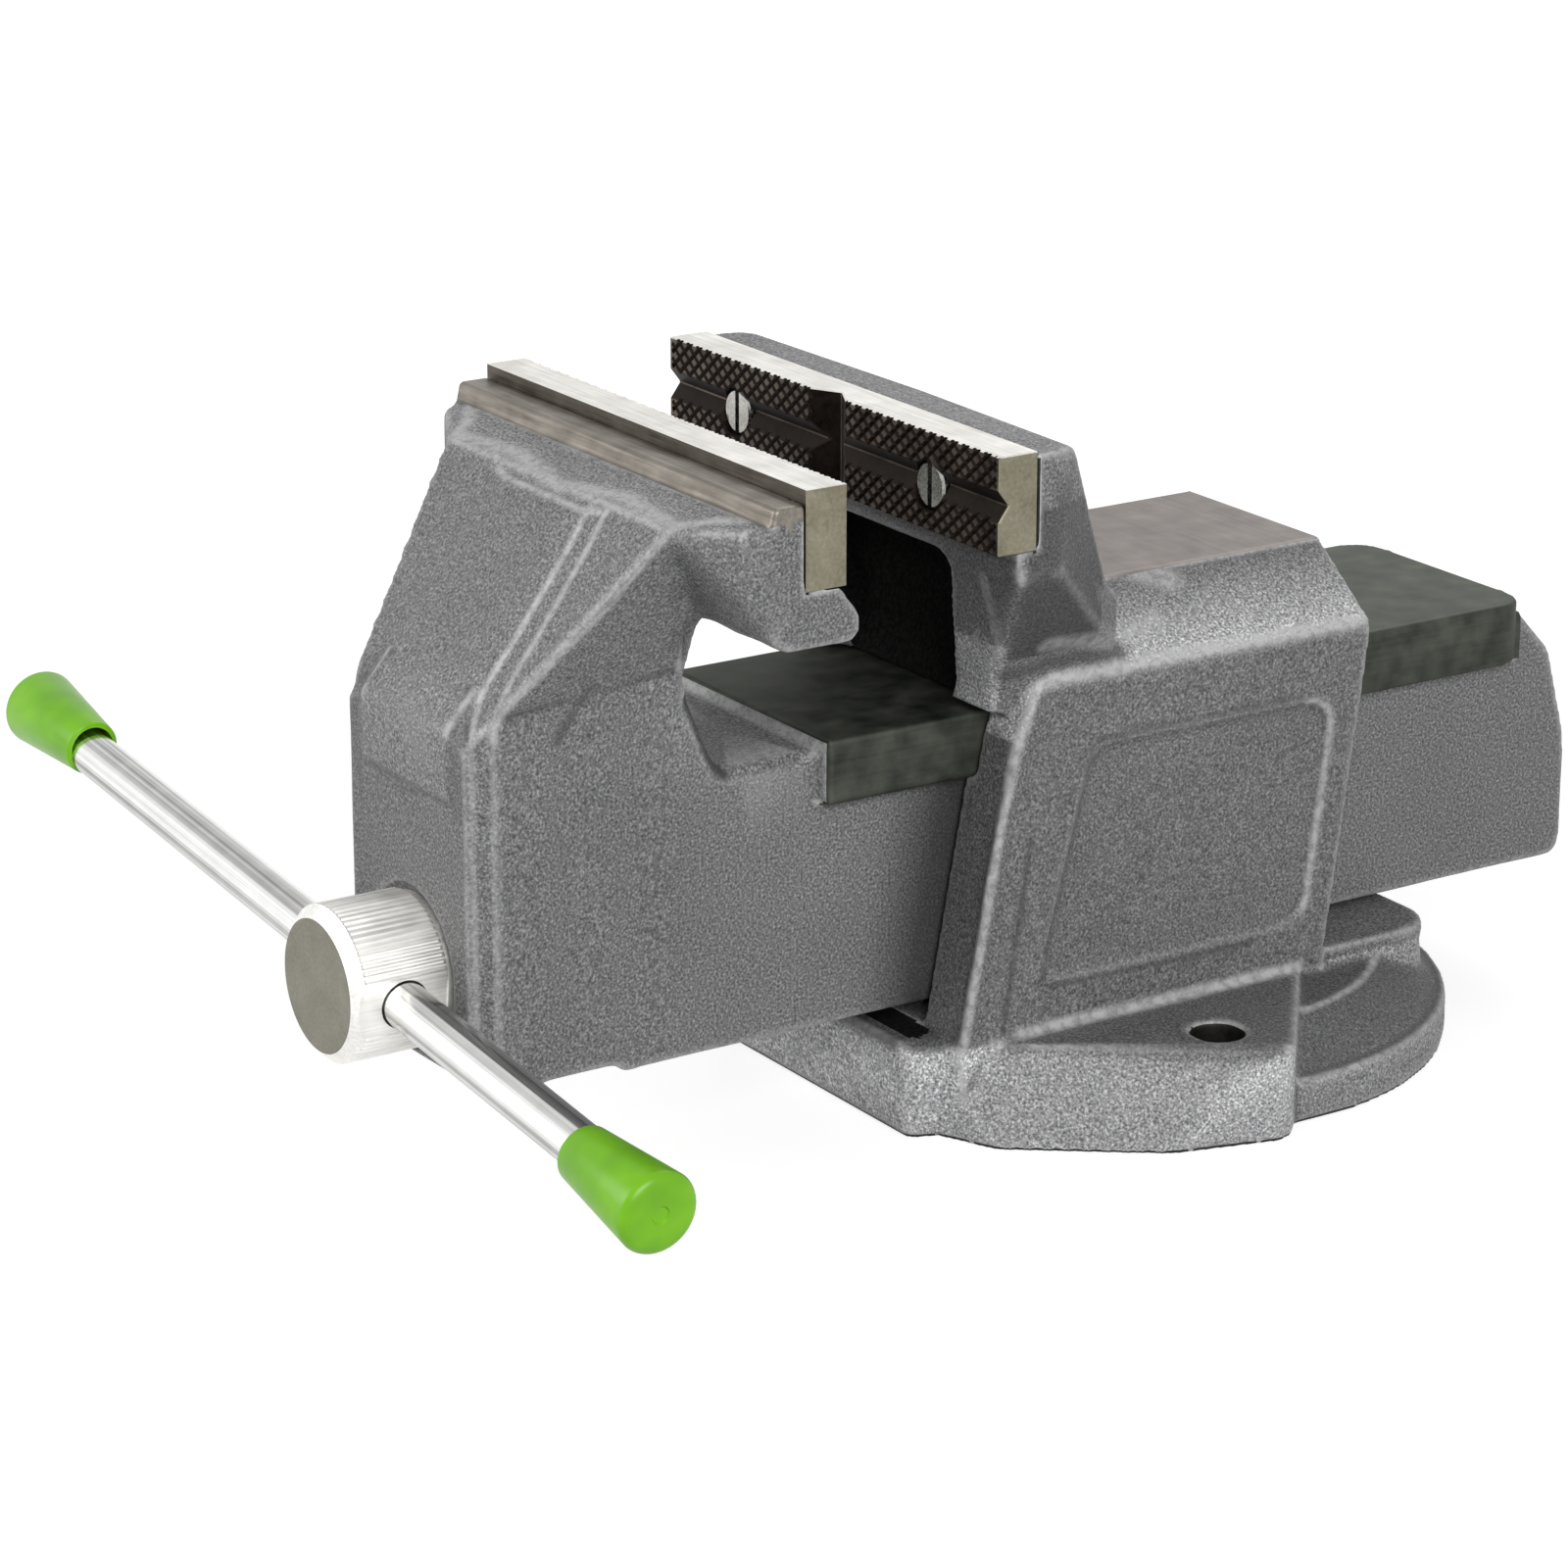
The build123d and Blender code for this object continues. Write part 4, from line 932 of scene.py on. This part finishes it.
def makeCap(node, outward, inside):
    centre, start, _ = spanAlong(node, outward)
    bore = inside + handle["boreGap"]
    length, lip, endRound = handle["capLength"], handle["lip"], handle["endRound"]
    depth = length - handle["capWall"]
    mouth, tip = handle["capMouthRadius"], handle["capEndRadius"]
    gate, gateDepth = handle["gateRadius"], handle["gateDepth"]
    outside = arcPoints((mouth - lip, lip), lip, -90, 0, steps=5)
    outside += arcPoints((tip - endRound, length - endRound), endRound, handle["endLean"], 90, steps=8)
    profile = [(0, depth), (bore, depth), (bore, 0)] + outside  # then the mould's gate mark
    profile += [(gate + handle["gateSlope"], length), (gate, length - gateDepth), (0, length - gateDepth)]
    piece = turned(node + "_moulded", profile)
    piece.matrix_world = standOn(centre + Vector(outward) * start, outward, (0, 1, 0))
    smoothShade(piece, sharpDegrees=50)
    fit(piece, "handle", node, [vinyl])


barRadius = makeBar()
makeCap("handle_cap_right", handleAxis, barRadius)
makeCap("handle_cap_left", -handleAxis, barRadius)
print("handle made")


# Pieces inside, kept as built

insideFinishes = {
    "spindle_bush": bronze, "thrust_washer": turnedSteel, "inner_washer": turnedSteel,
    "disc_spring": facedSteel, "retaining_collar": turnedSteel, "collar_pin": brightScrew,
    "spindle_nut": greyNut, "nut_bolt_front": blackBolt, "nut_bolt_rear": blackBolt,
    "nut_washer_front": facedSteel, "nut_washer_rear": facedSteel,
}
for node, finish in insideFinishes.items():
    nodes[node].data.materials.clear()
    nodes[node].data.materials.append(finish)
print("inner pieces finished:", len(insideFinishes))


# Studio

studio = {  # metres and watts; the floor's drop and the camera's values in mm
    "floorHalf": 6.0, "floorDrop": 0.05, "floorLift": 0.7, "liftNear": 0.5, "liftFar": 1.6, "worldFill": 0.2,
    "eye": (1038.8, -759.5, 496.8), "target": (-21.12, -70.16, 77.63), "lens": 116.8, "sensor": 36.0,
    "lampsAim": (0, -0.02, 0.09),
    "lamps": [  # place, size and power
        ("right softbox", (1.7, -0.55, 0.95), 1.1, 27),
        ("front softbox", (-0.7, -1.7, 0.8), 1.2, 17.5),
        ("rear softbox", (-0.9, 1.3, 1.6), 1.2, 11)],
}


def seenDirectly(tree):  # 1 for rays from the camera, in reflections and through clear things
    path = addNode(tree, "ShaderNodeLightPath")
    some = addNode(tree, "ShaderNodeMath", {"operation": "MAXIMUM"},
                   {0: path.outputs["Is Camera Ray"], 1: path.outputs["Is Glossy Ray"]})
    seen = addNode(tree, "ShaderNodeMath", {"operation": "MAXIMUM"},
                   {0: some.outputs[0], 1: path.outputs["Is Transmission Ray"]})
    return seen.outputs[0]


def makeFloor():  # matt white paper, lifted a little so that only the soft shadow shows
    half, drop = studio["floorHalf"], -studio["floorDrop"] * mm
    corners = [(-half, -half, drop), (half, -half, drop), (half, half, drop), (-half, half, drop)]
    floor = newPiece("floor", meshFrom("floor", corners, [(0, 1, 2, 3)]))
    material = bpy.data.materials.new("white paper sweep")
    material.use_nodes = True
    tree = material.node_tree
    tree.nodes.clear()
    paper = addNode(tree, "ShaderNodeBsdfDiffuse", {"Color": toLinear("#c4c4c4")})
    glow = addNode(tree, "ShaderNodeEmission", {"Color": (1, 1, 1, 1)})
    place = addNode(tree, "ShaderNodeTexCoord").outputs["Object"]
    away = addNode(tree, "ShaderNodeVectorMath", {"operation": "LENGTH"}, {0: place})
    lift = addNode(tree, "ShaderNodeMapRange", {"From Min": studio["liftNear"], "From Max": studio["liftFar"],
                                                "To Min": studio["floorLift"], "To Max": 1.0},
                   {"Value": away.outputs["Value"]})  # shadow near the vise, white further off
    lifted = addNode(tree, "ShaderNodeMath", {"operation": "MULTIPLY"},
                     {0: lift.outputs["Result"], 1: seenDirectly(tree)})
    tree.links.new(lifted.outputs[0], glow.inputs["Strength"])
    both = addNode(tree, "ShaderNodeAddShader", links={0: paper.outputs[0], 1: glow.outputs[0]})
    addNode(tree, "ShaderNodeOutputMaterial", links={"Surface": both.outputs[0]})
    floor.data.materials.append(material)


def makeWorld():
    world = bpy.data.worlds.new("white studio")
    bpy.context.scene.world = world
    world.use_nodes = True
    tree = world.node_tree
    tree.nodes.clear()
    strength = addNode(tree, "ShaderNodeMapRange", {"To Min": studio["worldFill"], "To Max": 1.0},
                       {"Value": seenDirectly(tree)})
    sky = addNode(tree, "ShaderNodeBackground", {"Color": (1, 1, 1, 1)},
                  {"Strength": strength.outputs["Result"]})
    addNode(tree, "ShaderNodeOutputWorld", links={"Surface": sky.outputs[0]})


def makeLamp(name, place, size, power):
    lamp = bpy.data.lights.new(name, "AREA")
    lamp.shape = "DISK"
    lamp.size = size
    lamp.energy = power
    holder = bpy.data.objects.new(name, lamp)
    bpy.context.scene.collection.objects.link(holder)
    holder.location = place
    holder.rotation_mode = "QUATERNION"
    holder.rotation_quaternion = (Vector(studio["lampsAim"]) - Vector(place)).to_track_quat("-Z", "Y")


def makeCamera():
    lens = bpy.data.cameras.new("camera")
    lens.lens = studio["lens"]
    lens.sensor_width = studio["sensor"]
    camera = bpy.data.objects.new("camera", lens)
    bpy.context.scene.collection.objects.link(camera)
    eye, target = Vector(studio["eye"]) * mm, Vector(studio["target"]) * mm
    camera.location = eye
    camera.rotation_mode = "QUATERNION"
    camera.rotation_quaternion = (target - eye).to_track_quat("-Z", "Y")
    bpy.context.scene.camera = camera


makeFloor()
makeWorld()
for name, place, size, power in studio["lamps"]:
    makeLamp(name, place, size, power)
makeCamera()
bpy.context.scene.view_settings.view_transform = "Standard"
print("studio set")
